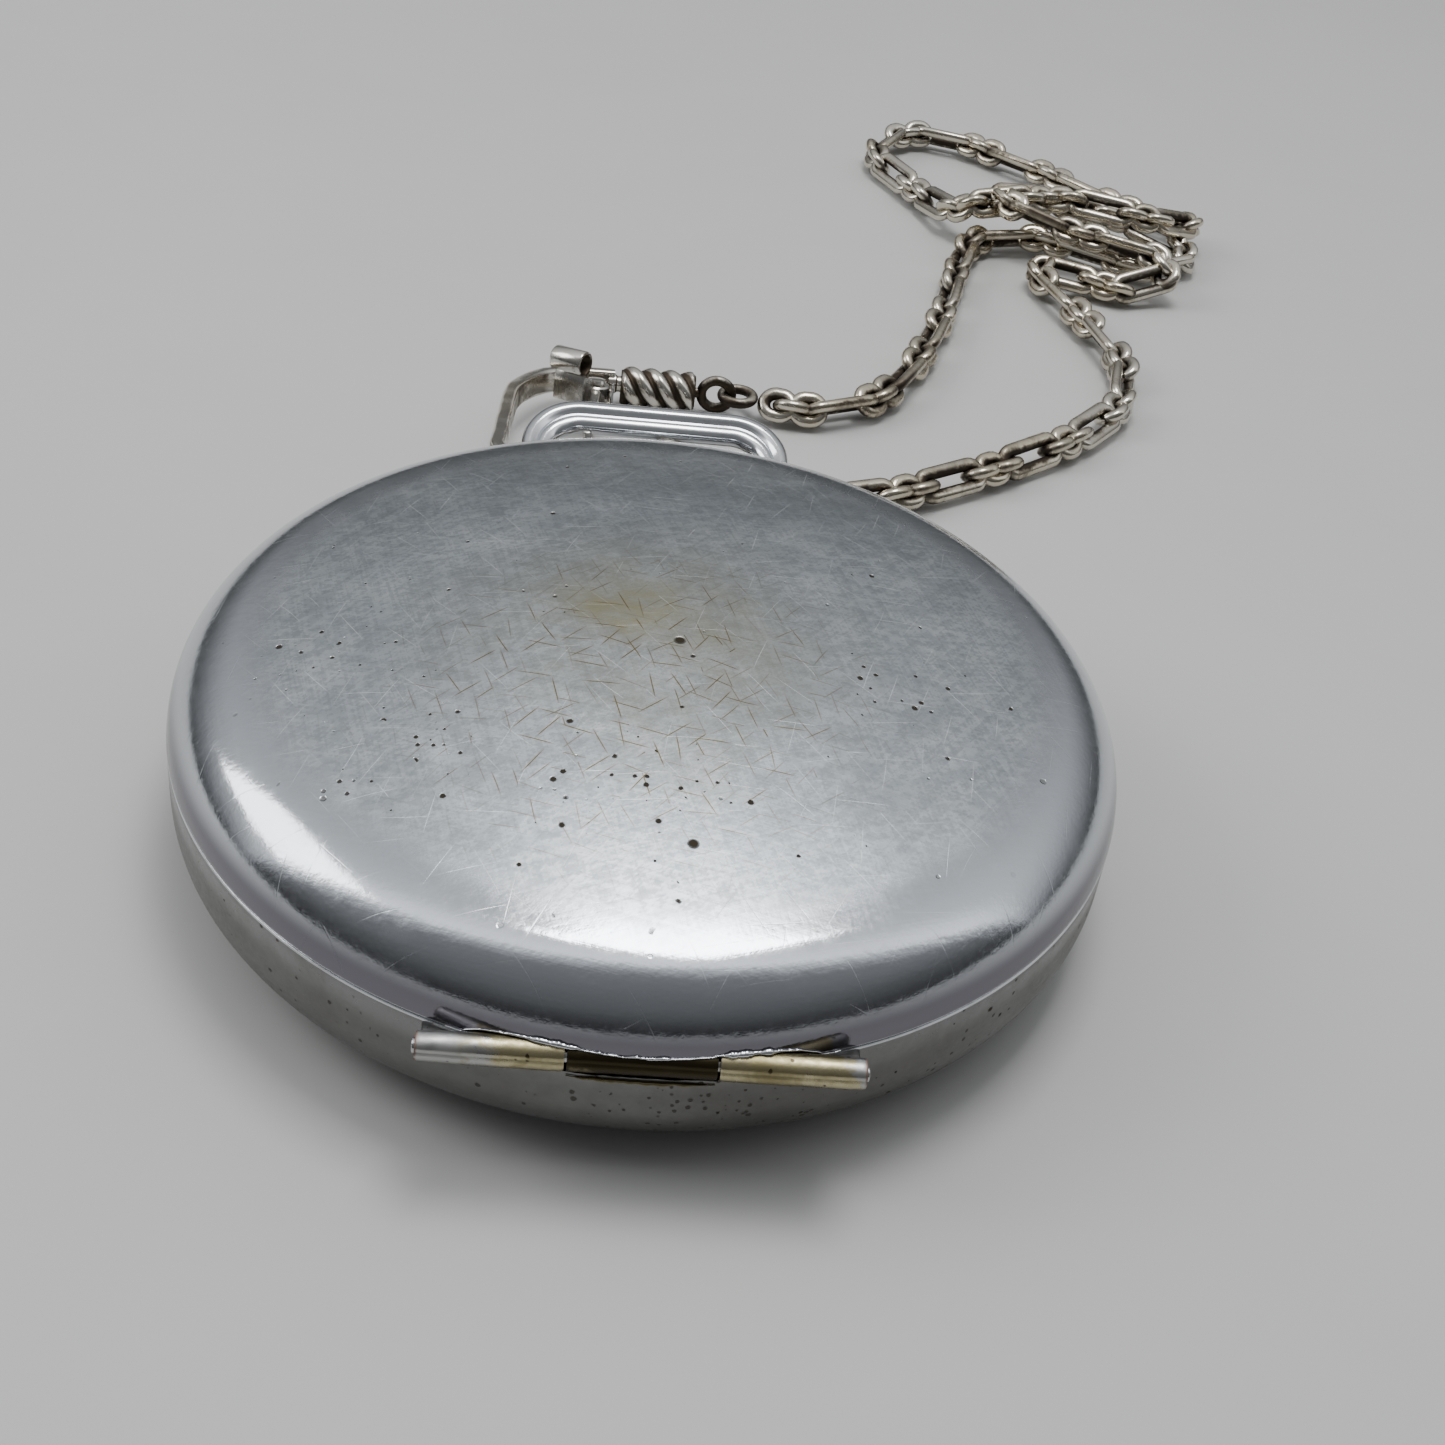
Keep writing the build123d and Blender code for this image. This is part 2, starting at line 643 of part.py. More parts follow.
def make_motion_work():
    low = plate_high + 0.06
    middle = low + motion_thickness
    high = middle + 0.06
    top = high + motion_thickness
    cannon = gear(cannon_teeth, motion_module, low, middle, arbor_radius, 0, 0, motion_bearing, gap=True)
    cannon += tube(cannon_radius, arbor_radius, low, minute_hand_low + hand_thickness)
    write("cannon_pinion", cannon)
    away = motion_bearing + 180
    wheel = gear(minute_wheel_teeth, motion_module, low, middle, 0, motion_x, motion_y, away)
    wheel += gear(minute_pinion_teeth, hour_module, low, top, 0, motion_x, motion_y, away, gap=True)
    wheel += disc(0.35, plate_high - 0.5, top, motion_x, motion_y)
    write("minute_wheel", wheel)
    bore = cannon_radius + cannon_gap
    wheel = gear(hour_wheel_teeth, hour_module, high, top, bore, 0, 0, motion_bearing)
    wheel += tube(hour_tube_radius, bore, high, hour_hand_low + hand_thickness)
    write("hour_wheel", wheel)


def make_winding_work():
    high = bridge_low - 0.06
    low = high - 0.35
    ratchet = gear(ratchet_teeth, winding_module, low, high, 0, barrel_x, barrel_y, winding_bearing)
    write("ratchet_wheel", ratchet)
    wheel = gear(crown_wheel_teeth, winding_module, low, high, 0.8, crown_wheel_x, crown_wheel_y,
                 winding_bearing + 180, gap=True)
    write("crown_wheel", wheel)
    post = disc(0.8 - running_gap, low - 0.02, high + 0.36, crown_wheel_x, crown_wheel_y)
    post += disc(1.3, low - 0.27, low - 0.02, crown_wheel_x, crown_wheel_y)
    write("crown_wheel_screw", post)
    click_x, click_y = polar(barrel_x, barrel_y, ratchet_teeth * winding_module / 2 + 1.5, 205)
    click = disc(0.8, low, high, click_x, click_y)
    turn = bearing_of(click_x, click_y, barrel_x, barrel_y) + 62
    click += Pos(click_x, click_y, 0) * Rot(0, 0, turn) * block(0, 1.7, -0.25, 0.25, low, high)
    click -= disc(0.35, low - 1, high + 1, click_x, click_y)
    write("click", click)


# ---- plate, bridges and screws ----
screw_radius = 0.45
bridge_feet = {
    "barrel": [(-16.3, 0.9), (3.2, 15.8), (-5.0, 15.6)],
    "train": [(10.6, -2.6), (6.5, -14.2), (-2.2, -16.2)],
    "balance": [(-15.9, -3.6)],
}
foot_size = 1.25


def hull_plate(circles, low, high):
    """Plate whose outline wraps a chain of circles: each circle is joined to the next."""
    body = None
    for x, y, r in circles:
        part = disc(r, low, high, x, y)
        body = part if body is None else body + part
    for (x0, y0, r0), (x1, y1, r1) in zip(circles, circles[1:]):
        length = sqrt((x1 - x0) ** 2 + (y1 - y0) ** 2)
        half = min(r0, r1)
        bar = block(0, length, -half, half, low, high)
        body += Pos(x0, y0, 0) * Rot(0, 0, bearing_of(x0, y0, x1, y1)) * bar
    return body


def with_feet(body, feet):
    for x, y in feet:
        body += disc(foot_size, bridge_low, plate_low, x, y)
        body -= disc(screw_radius, bridge_low - 1, plate_low + 1, x, y)
    return body


def pivot_holes(body, places, low, high):
    for x, y, r in places:
        body -= disc(r, low - 1, high + 1, x, y)
    return body


def make_plates():
    fine = pivot_radius + running_gap
    plate = disc(plate_radius, plate_low, plate_high)
    holes = [(third_x, third_y, fine), (fourth_x, fourth_y, fine), (escape_x, escape_y, fine)]
    holes += [(pallet_x, pallet_y, fine), (balance_x, balance_y, fine), (0, 0, arbor_radius + running_gap)]
    holes += [(barrel_x, barrel_y, 0.7 + running_gap)]
    plate = pivot_holes(plate, holes, plate_low, plate_high)
    plate -= disc(0.35 + running_gap, plate_high - 0.6, plate_high + 1, motion_x, motion_y)
    plate -= block(-1.6, 1.6, stem_inner_end - 0.6, plate_radius + 1, plate_low - 1, stem_height + 1.35)
    for feet in bridge_feet.values():
        for x, y in feet:
            plate -= disc(screw_radius, plate_low - 1, plate_low + 0.9, x, y)
    write("main_plate", plate)

    barrel_arm = [(-16.3, 0.9, 1.6), (barrel_x, barrel_y, 3.4), (-5.0, 15.6, 1.7)]
    body = hull_plate(barrel_arm, bridge_low, bridge_high)
    wide = [(barrel_x, barrel_y, 3.4), (crown_wheel_x, crown_wheel_y, 2.6), (3.2, 15.8, 1.7)]
    body += hull_plate(wide, bridge_low, bridge_high)
    body = with_feet(body, bridge_feet["barrel"])
    body = pivot_holes(body, [(barrel_x, barrel_y, 0.7 + running_gap)], bridge_low, bridge_high)
    body -= disc(0.8 - running_gap, bridge_low - 1, bridge_low + 0.35, crown_wheel_x, crown_wheel_y)
    write("barrel_bridge", body)

    spine = [(10.6, -2.6, 1.9), (0, 0, 2.2), (third_x, third_y, 2.4), (6.5, -14.2, 1.7)]
    body = hull_plate(spine, bridge_low, bridge_high)
    arm = [(third_x, third_y, 2.4), (fourth_x, fourth_y, 2.2), (escape_x, escape_y, 1.5)]
    body += hull_plate(arm, bridge_low, bridge_high)
    body += hull_plate([(fourth_x, fourth_y, 1.7), (-2.2, -16.2, 1.6)], bridge_low, bridge_high)
    body += hull_plate([(escape_x, escape_y, 1.0), (pallet_x, pallet_y, 0.8)], bridge_low, bridge_high)
    body = with_feet(body, bridge_feet["train"])
    holes = [(third_x, third_y, fine), (fourth_x, fourth_y, fine), (escape_x, escape_y, fine)]
    holes += [(pallet_x, pallet_y, fine), (0, 0, arbor_radius + running_gap)]
    body = pivot_holes(body, holes, bridge_low, bridge_high)
    write("train_bridge", body)

    cock = hull_plate([(-15.9, -3.6, 1.6), (balance_x, balance_y, 1.8)], bridge_low, bridge_high)
    cock = with_feet(cock, bridge_feet["balance"])
    cock = pivot_holes(cock, [(balance_x, balance_y, fine)], bridge_low, bridge_high)
    write("balance_cock", cock)

    screws = []
    for feet in bridge_feet.values():
        for x, y in feet:
            head = disc(0.85, bridge_low - 0.4, bridge_low, x, y)
            head -= Pos(x, y, bridge_low - 0.4) * Rot(0, 0, 30) * Box(3, 0.22, 0.3)
            screws.append(head + disc(screw_radius, bridge_low, plate_low + 0.8, x, y))
    write("bridge_screws", *screws)

    case_screws = []
    for bearing in (60, 240):
        x, y = polar(0, 0, plate_radius + 0.1, bearing)
        head = disc(1.1, ring_low - 0.5, ring_low - seat_gap, x, y)
        head -= Pos(x, y, ring_low - 0.5) * Rot(0, 0, 20) * Box(3, 0.25, 0.3)
        case_screws.append(head)
    write("case_screws", *case_screws)


stem_inner_end = crown_low + crown_length / 2 - stem_length


# ---- hands ----
def hand(length, root_width, tip_width, tail, hub, low, bore, x, y, bearing):
    """Tapered hand with a round hub and a short tail."""
    outline = [(-tail, -root_width / 2), (0, -root_width / 2), (length * 0.7, -root_width * 0.75)]
    outline += [(length, -tip_width / 2), (length, tip_width / 2), (length * 0.7, root_width * 0.75)]
    outline += [(0, root_width / 2), (-tail, root_width / 2)]
    blade = extrude(make_face(Polyline(*outline, close=True)), amount=hand_thickness)
    body = blade + Cylinder(hub, hand_thickness, align=(Align.CENTER, Align.CENTER, Align.MIN))
    body -= Cylinder(bore, 5)
    return Pos(x, y, low) * Rot(0, 0, bearing) * body


def make_hands():
    write("hour_hand", hand(hour_hand_length, 0.9, 0.15, 0.8, 1.8, hour_hand_low, hour_tube_radius, 0, 0, 145))
    write("minute_hand", hand(minute_hand_length, 0.7, 0.15, 2.5, 1.5, minute_hand_low, cannon_radius, 0, 0, 37))
    write("seconds_hand", hand(seconds_hand_length, 0.25, 0.1, 1.2, 0.5, dial_high + 0.05, pivot_radius,
                               fourth_x, fourth_y, 215))


# ---- swivel clasp ----
def hook_place(across, along, height):
    """Point on the sloping plane of the hook: across in X, along it towards the case, height off it."""
    slope = radians(hook_slope)
    y = clasp_y - along * cos(slope) + height * sin(slope)
    z = hook_neck_z + along * sin(slope) + height * cos(slope)
    return (across, y, z)


hook_frame = Plane(origin=hook_place(0, 0, 0), x_dir=(1, 0, 0),
                   z_dir=(0, sin(radians(hook_slope)), cos(radians(hook_slope))))
gate_pivot = (-4.2, 3.4)
gate_tip = (-4.6, 18.4)
hook_route = [(-2.9, 0), (-10.4, -0.4), (-10.9, -21.4), (-4.9, -22.2), (-4.6, -19.2)]
hook_radii = [4.4, 2.6, 1.9]
lug_start = 0.2
swivel_rod_radius = 0.6
thumb_centre = (-6.1, 4.85)
tab_left = -5.9
tab_right = -4.6
tab_thickness = 0.5
spring_leaf = (-3.05, -2.85, 2.0, 8.0)
shank_end_gap = 0.2


def hook_block(x0, x1, b0, b1, h0, h1):
    """Block in the hook's own directions."""
    return hook_frame * block(x0, x1, -b1, -b0, h0, h1)


def hook_bar(radius, x, b, h0, h1):
    return hook_frame * disc(radius, h0, h1, x, -b)


def make_clasp():
    path = FilletPolyline(*hook_route, radius=hook_radii)
    start = Plane(origin=hook_route[0], x_dir=(0, 1, 0), z_dir=(-1, 0, 0))
    section = start * Rectangle(hook_thickness, hook_height)
    hook = hook_frame * sweep(section, path=path)
    half = gate_height / 2
    low = -half - lug_gap - lug_thickness
    lug_left = gate_pivot[0] - gate_hub_radius - lug_gap
    lug_right = gate_pivot[0] + gate_hub_radius + lug_gap
    lug_far = gate_pivot[1] + gate_hub_radius + 2 * lug_gap
    hook += hook_block(lug_left, lug_right, lug_start, lug_far, low, low + lug_thickness)
    hook += hook_block(lug_left, lug_right, lug_start, hook_thickness / 2, low, 0)
    rod_left = hook_route[0][0] - lug_gap * 3
    hook += rod_x(swivel_rod_radius, rod_left, clasp_barrel_left, clasp_y, barrel_axis_z + lug_gap)
    write("clasp_hook", hook)

    pin_top = half + lug_gap
    pin = hook_bar(gate_pin_radius, gate_pivot[0], gate_pivot[1], low + lug_thickness, pin_top)
    pin += hook_bar(pin_head_radius, gate_pivot[0], gate_pivot[1], pin_top, pin_top + pin_head_height)
    write("gate_pin", pin)

    length = sqrt((gate_tip[0] - gate_pivot[0]) ** 2 + (gate_tip[1] - gate_pivot[1]) ** 2)
    lean = bearing_of(gate_pivot[0], -gate_pivot[1], gate_tip[0], -gate_tip[1])
    bar = block(0, length, -gate_width / 2, gate_width / 2, -half, half)
    gate = hook_frame * (Pos(gate_pivot[0], -gate_pivot[1], 0) * Rot(0, 0, lean) * bar)
    gate += hook_bar(gate_hub_radius, gate_pivot[0], gate_pivot[1], -half, half)
    gate -= hook_bar(gate_pin_radius + running_gap, gate_pivot[0], gate_pivot[1], -gate_height, gate_height)
    tab_far = thumb_centre[1] + tab_thickness / 2
    tab_top = thumb_rise - thumb_curl_bore / 2
    gate += hook_block(tab_left, tab_right, tab_far - tab_thickness, tab_far, -half, tab_top)
    place = Pos(thumb_centre[0], -thumb_centre[1], thumb_rise) * Rot(0, 90, 0)
    curl = place * Cylinder(thumb_curl_radius, thumb_curl_length)
    curl -= place * Cylinder(thumb_curl_bore, thumb_curl_length + 1)
    gate += hook_frame * curl
    write("clasp_gate", gate)
    write("gate_spring", hook_block(*spring_leaf, -gate_height / 3, gate_height / 3))

    # ribbed barrel: turned grooves along it
    length = clasp_barrel_right - clasp_barrel_left
    groove_radius = clasp_barrel_radius - rib_depth
    body = rod_x(groove_radius, clasp_barrel_left, clasp_barrel_right, clasp_y, barrel_axis_z)
    pitch = length / rib_count
    for i in range(rib_count):
        middle = clasp_barrel_left + pitch * (i + 0.5)
        reach = pitch * rib_share / 2
        body += rod_x(clasp_barrel_radius, middle - reach, middle + reach, clasp_y, barrel_axis_z)
    shank_hole = clasp_barrel_right - shank_depth
    body -= rod_x(shank_radius, shank_hole, clasp_barrel_right + 1, clasp_y, barrel_axis_z)
    write("clasp_barrel", body)

    eye = torus_ring(ring_mean_radius, ring_wire, eye_centre_x, clasp_y, barrel_axis_z, upright=True)
    shank_end = eye_centre_x - ring_mean_radius
    shank_start = shank_hole + shank_end_gap
    eye += rod_x(shank_radius - running_gap, shank_start, shank_end, clasp_y, barrel_axis_z)
    write("swivel_eye", eye)
    ring_x = eye_centre_x + link_offset
    write("clasp_ring", torus_ring(ring_mean_radius, ring_wire, ring_x, clasp_y, barrel_axis_z))


# ---- chain and T-bar ----
route_near = [(7.82, 47.2), (10.3, 46.3), (13.1, 46.5), (15.7, 47.9), (17.9, 50.3), (19.8, 53.8),
              (21.9, 59.3), (24.0, 66.0), (25.2, 71.6), (26.45, 77.1)]
route_loop = [(25.0, 86.0), (23.3, 90.5), (20.6, 94.2), (20.2, 99.0), (23.4, 103.4), (28.0, 103.8),
              (32.0, 100.2), (35.6, 97.6), (39.5, 93.3)]
route_far = [(33.5, 71.5), (35.4, 66.4), (37.1, 61.4), (37.6, 56.2), (36.0, 51.2), (32.9, 46.9),
             (28.7, 43.1), (24.2, 39.8), (19.6, 36.8), (15.0, 34.2), (10.6, 32.9), (6.6, 32.6)]


def face_ends(route, last):
    """Both ends of a pile face that stands square to the end of a route."""
    tip, before = (route[-1], route[-2]) if last else (route[0], route[1])
    run = Vector(tip[0] - before[0], tip[1] - before[1])
    run = run.normalized()
    half = chain_width * 0.62
    left = (tip[0] - run.Y * half, tip[1] + run.X * half)
    right = (tip[0] + run.Y * half, tip[1] - run.X * half)
    return right, left


def chain_radii(route):
    radii = []
    for a, b, c in zip(route, route[1:], route[2:]):
        first = Vector(b[0] - a[0], b[1] - a[1])
        second = Vector(c[0] - b[0], c[1] - b[1])
        turn = radians(first.get_angle(second))
        radii.append(0.45 * min(first.length, second.length) / tan(turn / 2))
    return radii


def chain_tube(name, route):
    radii = chain_radii(route)
    points = [(x, y, chain_axis_z) for x, y in route]
    path = FilletPolyline(*points, radius=radii)
    start = Vector(points[1]) - Vector(points[0])
    section = Plane(origin=points[0], z_dir=start) * Circle(chain_width / 2)
    body = sweep(section, path=path)
    share = body.volume / (pi * chain_width ** 2 / 4 * path.length)
    print(name, "length", round(path.length, 1), "volume share", round(share, 4),
          "radii", [round(r, 1) for r in radii])
    write(name, body)


def make_chain():
    chain_tube("chain_near", route_near)
    chain_tube("chain_loop", route_loop)
    chain_tube("chain_far", route_far)
    near_a, near_b = face_ends(route_near, True)
    loop_a, loop_b = face_ends(route_loop, False)
    back_a, back_b = face_ends(route_loop, True)
    far_a, far_b = face_ends(route_far, False)
    outline = [near_b, near_a, far_b, far_a, (41.5, 69.2), (46.6, 75.2), (50.4, 80.6), (50.1, 87.6), (45.8, 93.2)]
    outline += [back_b, back_a, (32.2, 89.4), loop_b, loop_a]
    print("pile outline", [(round(x, 1), round(y, 1)) for x, y in outline])
    pile = extrude(make_face(Polyline(*outline, close=True)), amount=pile_height)
    pile = Pos(0, 0, chain_axis_z - chain_width / 2) * pile
    top = pile.faces().sort_by(Axis.Z)[-1]
    pile = chamfer(top.edges(), pile_chamfer)
    write("chain_pile", pile)


def make_t_bar():
    ring_x = route_far[-1][0] - ring_mean_radius - ring_wire - 0.02
    write("t_bar_ring", torus_ring(ring_mean_radius, ring_wire, ring_x, bar_y, chain_axis_z))
    eye_x = ring_x - link_offset
    eye = torus_ring(ring_mean_radius, ring_wire, eye_x, bar_y, chain_axis_z, upright=True)
    bar = rod_y(bar_radius, bar_y - bar_half_length, bar_y + bar_half_length, bar_x, bar_z)
    bar += rod_x(ring_wire * 0.8, bar_x, eye_x - ring_mean_radius, bar_y, chain_axis_z - 0.2)
    write("t_bar", bar + eye)


make_case()
make_lid()
make_hinge()
make_bezel()
make_glass()
make_ring()
make_dial()
make_catch()
make_pendant()
make_crown()
make_bow()
make_train()
make_escapement()
make_motion_work()
make_winding_work()
make_plates()
make_hands()
make_clasp()
make_chain()
make_t_bar()
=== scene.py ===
import math
import random

import bmesh
import bpy
from mathutils import Matrix, Vector, noise


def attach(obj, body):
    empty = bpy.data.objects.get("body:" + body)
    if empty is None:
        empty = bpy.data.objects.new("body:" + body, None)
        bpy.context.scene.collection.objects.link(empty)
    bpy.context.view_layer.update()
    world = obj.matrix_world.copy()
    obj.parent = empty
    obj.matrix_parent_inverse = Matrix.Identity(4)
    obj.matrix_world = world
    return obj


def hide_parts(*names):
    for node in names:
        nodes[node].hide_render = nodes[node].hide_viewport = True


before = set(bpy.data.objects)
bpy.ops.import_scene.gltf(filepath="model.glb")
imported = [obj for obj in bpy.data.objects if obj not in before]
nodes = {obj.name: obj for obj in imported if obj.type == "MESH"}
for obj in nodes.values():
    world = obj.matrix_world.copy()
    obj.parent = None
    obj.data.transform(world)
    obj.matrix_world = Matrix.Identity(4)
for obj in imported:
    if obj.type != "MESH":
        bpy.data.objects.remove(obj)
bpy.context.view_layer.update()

mm = 0.001
fullTurn = 2 * math.pi
up = Vector((0, 0, 1))

# the camera stands in front of 6 o'clock and looks down at the lid; place in mm, roll in degrees
cameraSet = {
    "lens": 49.83,
    "place": (-4.42, -84.53, 73.0),
    "forward": (0.0773, 0.7885, -0.6101),
    "roll": 7.85,
}


def makeCamera():
    data = bpy.data.cameras.new("camera")
    data.lens = cameraSet["lens"]
    data.sensor_width = 36
    data.clip_start = 0.005
    forward = Vector(cameraSet["forward"]).normalized()
    level = forward.cross(up).normalized()
    upright = level.cross(forward)
    roll = math.radians(cameraSet["roll"])
    right = level * math.cos(roll) + upright * math.sin(roll)
    top = right.cross(forward)
    camera = bpy.data.objects.new("camera", data)
    bpy.context.collection.objects.link(camera)
    camera.matrix_world = Matrix((
        (right.x, top.x, -forward.x, cameraSet["place"][0] * mm),
        (right.y, top.y, -forward.y, cameraSet["place"][1] * mm),
        (right.z, top.z, -forward.z, cameraSet["place"][2] * mm),
        (0, 0, 0, 1)))
    bpy.context.scene.camera = camera


makeCamera()
print("camera placed")

# mesh helpers: every length given to them is in millimetres


def addPiece(name, vertices, faces, material, body, slot, replaced=(), sharp=35):
    mesh = bpy.data.meshes.new(name)
    mesh.from_pydata([Vector(v) * mm for v in vertices], [], faces)
    mesh.validate()
    piece = bpy.data.objects.new(name, mesh)
    bpy.context.collection.objects.link(piece)
    for each in material if isinstance(material, list) else [material]:
        mesh.materials.append(each)
    cleanMesh(mesh, sharp)
    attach(piece, body)
    if replaced:
        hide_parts(*replaced)
    return piece


def cleanMesh(mesh, sharp):
    work = bmesh.new()
    work.from_mesh(mesh)
    bmesh.ops.remove_doubles(work, verts=work.verts, dist=1e-7)
    bmesh.ops.recalc_face_normals(work, faces=work.faces)
    work.to_mesh(mesh)
    work.free()
    mesh.shade_smooth()
    mesh.set_sharp_from_angle(angle=math.radians(sharp))


def join(*shapes):
    # several (vertices, faces) shapes as one
    vertices, faces = [], []
    for some, loops in shapes:
        base = len(vertices)
        vertices += [Vector(v) for v in some]
        faces += [tuple(base + k for k in loop) for loop in loops]
    return vertices, faces


def moved(shape, place):
    return [place(Vector(v)) for v in shape[0]], shape[1]


def alongX(x, y, z):
    # stands a lathe shape on the X axis, starting at a point
    return lambda v: Vector((x + v.z, y + v.x, z + v.y))


def alongY(x, y, z):
    return lambda v: Vector((x + v.x, y + v.z, z - v.y))


def at(x, y, z=0):
    return lambda v: v + Vector((x, y, z))


def lathe(profile, steps=192, ripple=None):
    # a closed outline of (radius, height) points turned about Z
    vertices, faces = [], []
    count = len(profile)
    for i in range(steps):
        a = fullTurn * i / steps
        for r, z in profile:
            r += ripple(a, r, z) if ripple and r > 1e-6 else 0
            vertices.append((r * math.cos(a), r * math.sin(a), z))
    for i in range(steps):
        j = (i + 1) % steps
        for k in range(count):
            n = (k + 1) % count
            if profile[k][0] < 1e-6 and profile[n][0] < 1e-6:
                continue
            faces.append((i * count + k, i * count + n, j * count + n, j * count + k))
    return vertices, faces


def arc(centre, radius, start, end, steps):
    # points of an arc; angles in degrees
    turns = [math.radians(start + (end - start) * i / steps) for i in range(steps + 1)]
    return [(centre[0] + radius * math.cos(a), centre[1] + radius * math.sin(a)) for a in turns]


def arcTo(centre, start, end, steps):
    # an arc about a centre from one point to another
    radius = math.dist(centre, start)
    a = math.degrees(math.atan2(start[1] - centre[1], start[0] - centre[0]))
    b = math.degrees(math.atan2(end[1] - centre[1], end[0] - centre[0]))
    return arc(centre, radius, a, b, steps)


def ellipse(width, height, steps=12):
    return [(width * math.cos(fullTurn * k / steps), height * math.sin(fullTurn * k / steps))
            for k in range(steps)]


def softBox(width, height, round, steps=4):
    # a rectangle outline with rounded corners
    points = []
    for cx, cy, start in ((1, 1, 0), (-1, 1, 90), (-1, -1, 180), (1, -1, 270)):
        points += arc((cx * (width / 2 - round), cy * (height / 2 - round)), round, start, start + 90, steps)
    return points


def sweep(path, outline, closed=False, hint=up, grow=None):
    # an outline carried along points; its second number goes towards the hint
    vertices, faces = [], []
    path = [Vector(p) for p in path]
    total, count = len(path), len(outline)
    for i, p in enumerate(path):
        if closed:
            tangent = path[(i + 1) % total] - path[i - 1]
        else:
            tangent = path[min(i + 1, total - 1)] - path[max(i - 1, 0)]
        side = tangent.cross(hint).normalized()
        upward = side.cross(tangent).normalized()
        wide, high = grow(i / max(1, total - 1)) if grow else (1, 1)
        for u, v in outline:
            vertices.append(p + side * u * wide + upward * v * high)
    for i in range(total if closed else total - 1):
        j = (i + 1) % total
        for k in range(count):
            n = (k + 1) % count
            faces.append((i * count + k, i * count + n, j * count + n, j * count + k))
    if not closed:
        faces.append(tuple(range(count - 1, -1, -1)))
        faces.append(tuple((total - 1) * count + k for k in range(count)))
    return vertices, faces


def roundRun(corners, radii, steps=10):
    # a run of 3-D points whose inner corners are turned into arcs
    corners = [Vector(c) for c in corners]
    points = [corners[0]]
    for before, corner, after, radius in zip(corners, corners[1:], corners[2:], radii):
        a, b = (before - corner).normalized(), (after - corner).normalized()
        half = a.angle(b) / 2
        centre = corner + (a + b).normalized() * radius / math.sin(half)
        first = corner + a * radius / math.tan(half) - centre
        last = corner + b * radius / math.tan(half) - centre
        whole = first.angle(last)
        for k in range(steps + 1):
            t = k / steps
            points.append(centre + (first * math.sin((1 - t) * whole) + last * math.sin(t * whole)) / math.sin(whole))
    return points + [corners[-1]]


def densify(points, gap):
    # extra points on the straight runs
    points = [Vector(p) for p in points]
    dense = [points[0]]
    for a, b in zip(points, points[1:]):
        pieces = max(1, math.ceil((b - a).length / gap))
        dense += [a.lerp(b, k / pieces) for k in range(1, pieces + 1)]
    return dense


def prism(outline, low, high, bevel=0.0):
    # an upright block with a chamfered top and bottom edge
    count = len(outline)
    middle = Vector((sum(p[0] for p in outline) / count, sum(p[1] for p in outline) / count))
    vertices, faces = [], []
    for z, inset in ((low, bevel), (low + bevel, 0), (high - bevel, 0), (high, bevel)):
        for p in outline:
            away = Vector(p[:2]) - middle
            share = 1 - inset / max(away.length, 1e-6)
            vertices.append((middle.x + away.x * share, middle.y + away.y * share, z))
    for row in range(3):
        for k in range(count):
            n = (k + 1) % count
            faces.append((row * count + k, row * count + n, (row + 1) * count + n, (row + 1) * count + k))
    faces.append(tuple(range(count - 1, -1, -1)))
    faces.append(tuple(3 * count + k for k in range(count)))
    return vertices, faces


def cutAway(piece, cutters, sharp=35):
    # boolean cuts worked into the mesh; a cut face takes the cutter's material
    tools = []
    for vertices, faces, material in cutters:
        mesh = bpy.data.meshes.new("cutter")
        mesh.from_pydata([Vector(v) * mm for v in vertices], [], faces)
        mesh.materials.append(material)
        cleanMesh(mesh, 30)
        tool = bpy.data.objects.new("cutter", mesh)
        bpy.context.collection.objects.link(tool)
        change = piece.modifiers.new("cut", "BOOLEAN")
        change.operation = "DIFFERENCE"
        change.solver = "EXACT"
        change.material_mode = "TRANSFER"
        change.object = tool
        tools.append(tool)
    bpy.context.view_layer.update()
    shape = bpy.data.meshes.new_from_object(piece.evaluated_get(bpy.context.evaluated_depsgraph_get()))
    piece.modifiers.clear()
    piece.data = shape
    for tool in tools:
        bpy.data.objects.remove(tool)
    cleanMesh(shape, sharp)


def giveWearAndShade(piece, rule):
    values = [rule(v.co / mm, v.normal) for v in piece.data.vertices]
    piece.data.attributes.new("wearAndShade", "FLOAT", "POINT").data.foreach_set("value", values)


def wobble(shape, height, size, seed=0.0):
    # small unevenness, as on metal that has been knocked about
    vertices = []
    for v in shape[0]:
        v = Vector(v)
        vertices.append(v + noise.noise_vector(v / size + Vector((seed, seed, seed))) * height)
    return vertices, shape[1]


# shader helpers


def makeGroup(name, inputs, outputs):
    group = bpy.data.node_groups.new(name, "ShaderNodeTree")
    for label, kind, value in inputs:
        socket = group.interface.new_socket(label, in_out="INPUT", socket_type="NodeSocket" + kind)
        if value is not None:
            socket.default_value = value
    for label, kind in outputs:
        group.interface.new_socket(label, in_out="OUTPUT", socket_type="NodeSocket" + kind)
    return group, group.nodes.new("NodeGroupInput").outputs, group.nodes.new("NodeGroupOutput").inputs


def connect(tree, source, target):
    # a socket is linked, a plain value is set
    if isinstance(source, bpy.types.NodeSocket):
        tree.links.new(source, target)
    elif source is not None:
        target.default_value = source


def calc(tree, operation, a, b=None, c=None, clamp=False):
    node = tree.nodes.new("ShaderNodeMath")
    node.operation = operation
    node.use_clamp = clamp
    for value, socket in zip((a, b, c), node.inputs):
        connect(tree, value, socket)
    return node.outputs[0]


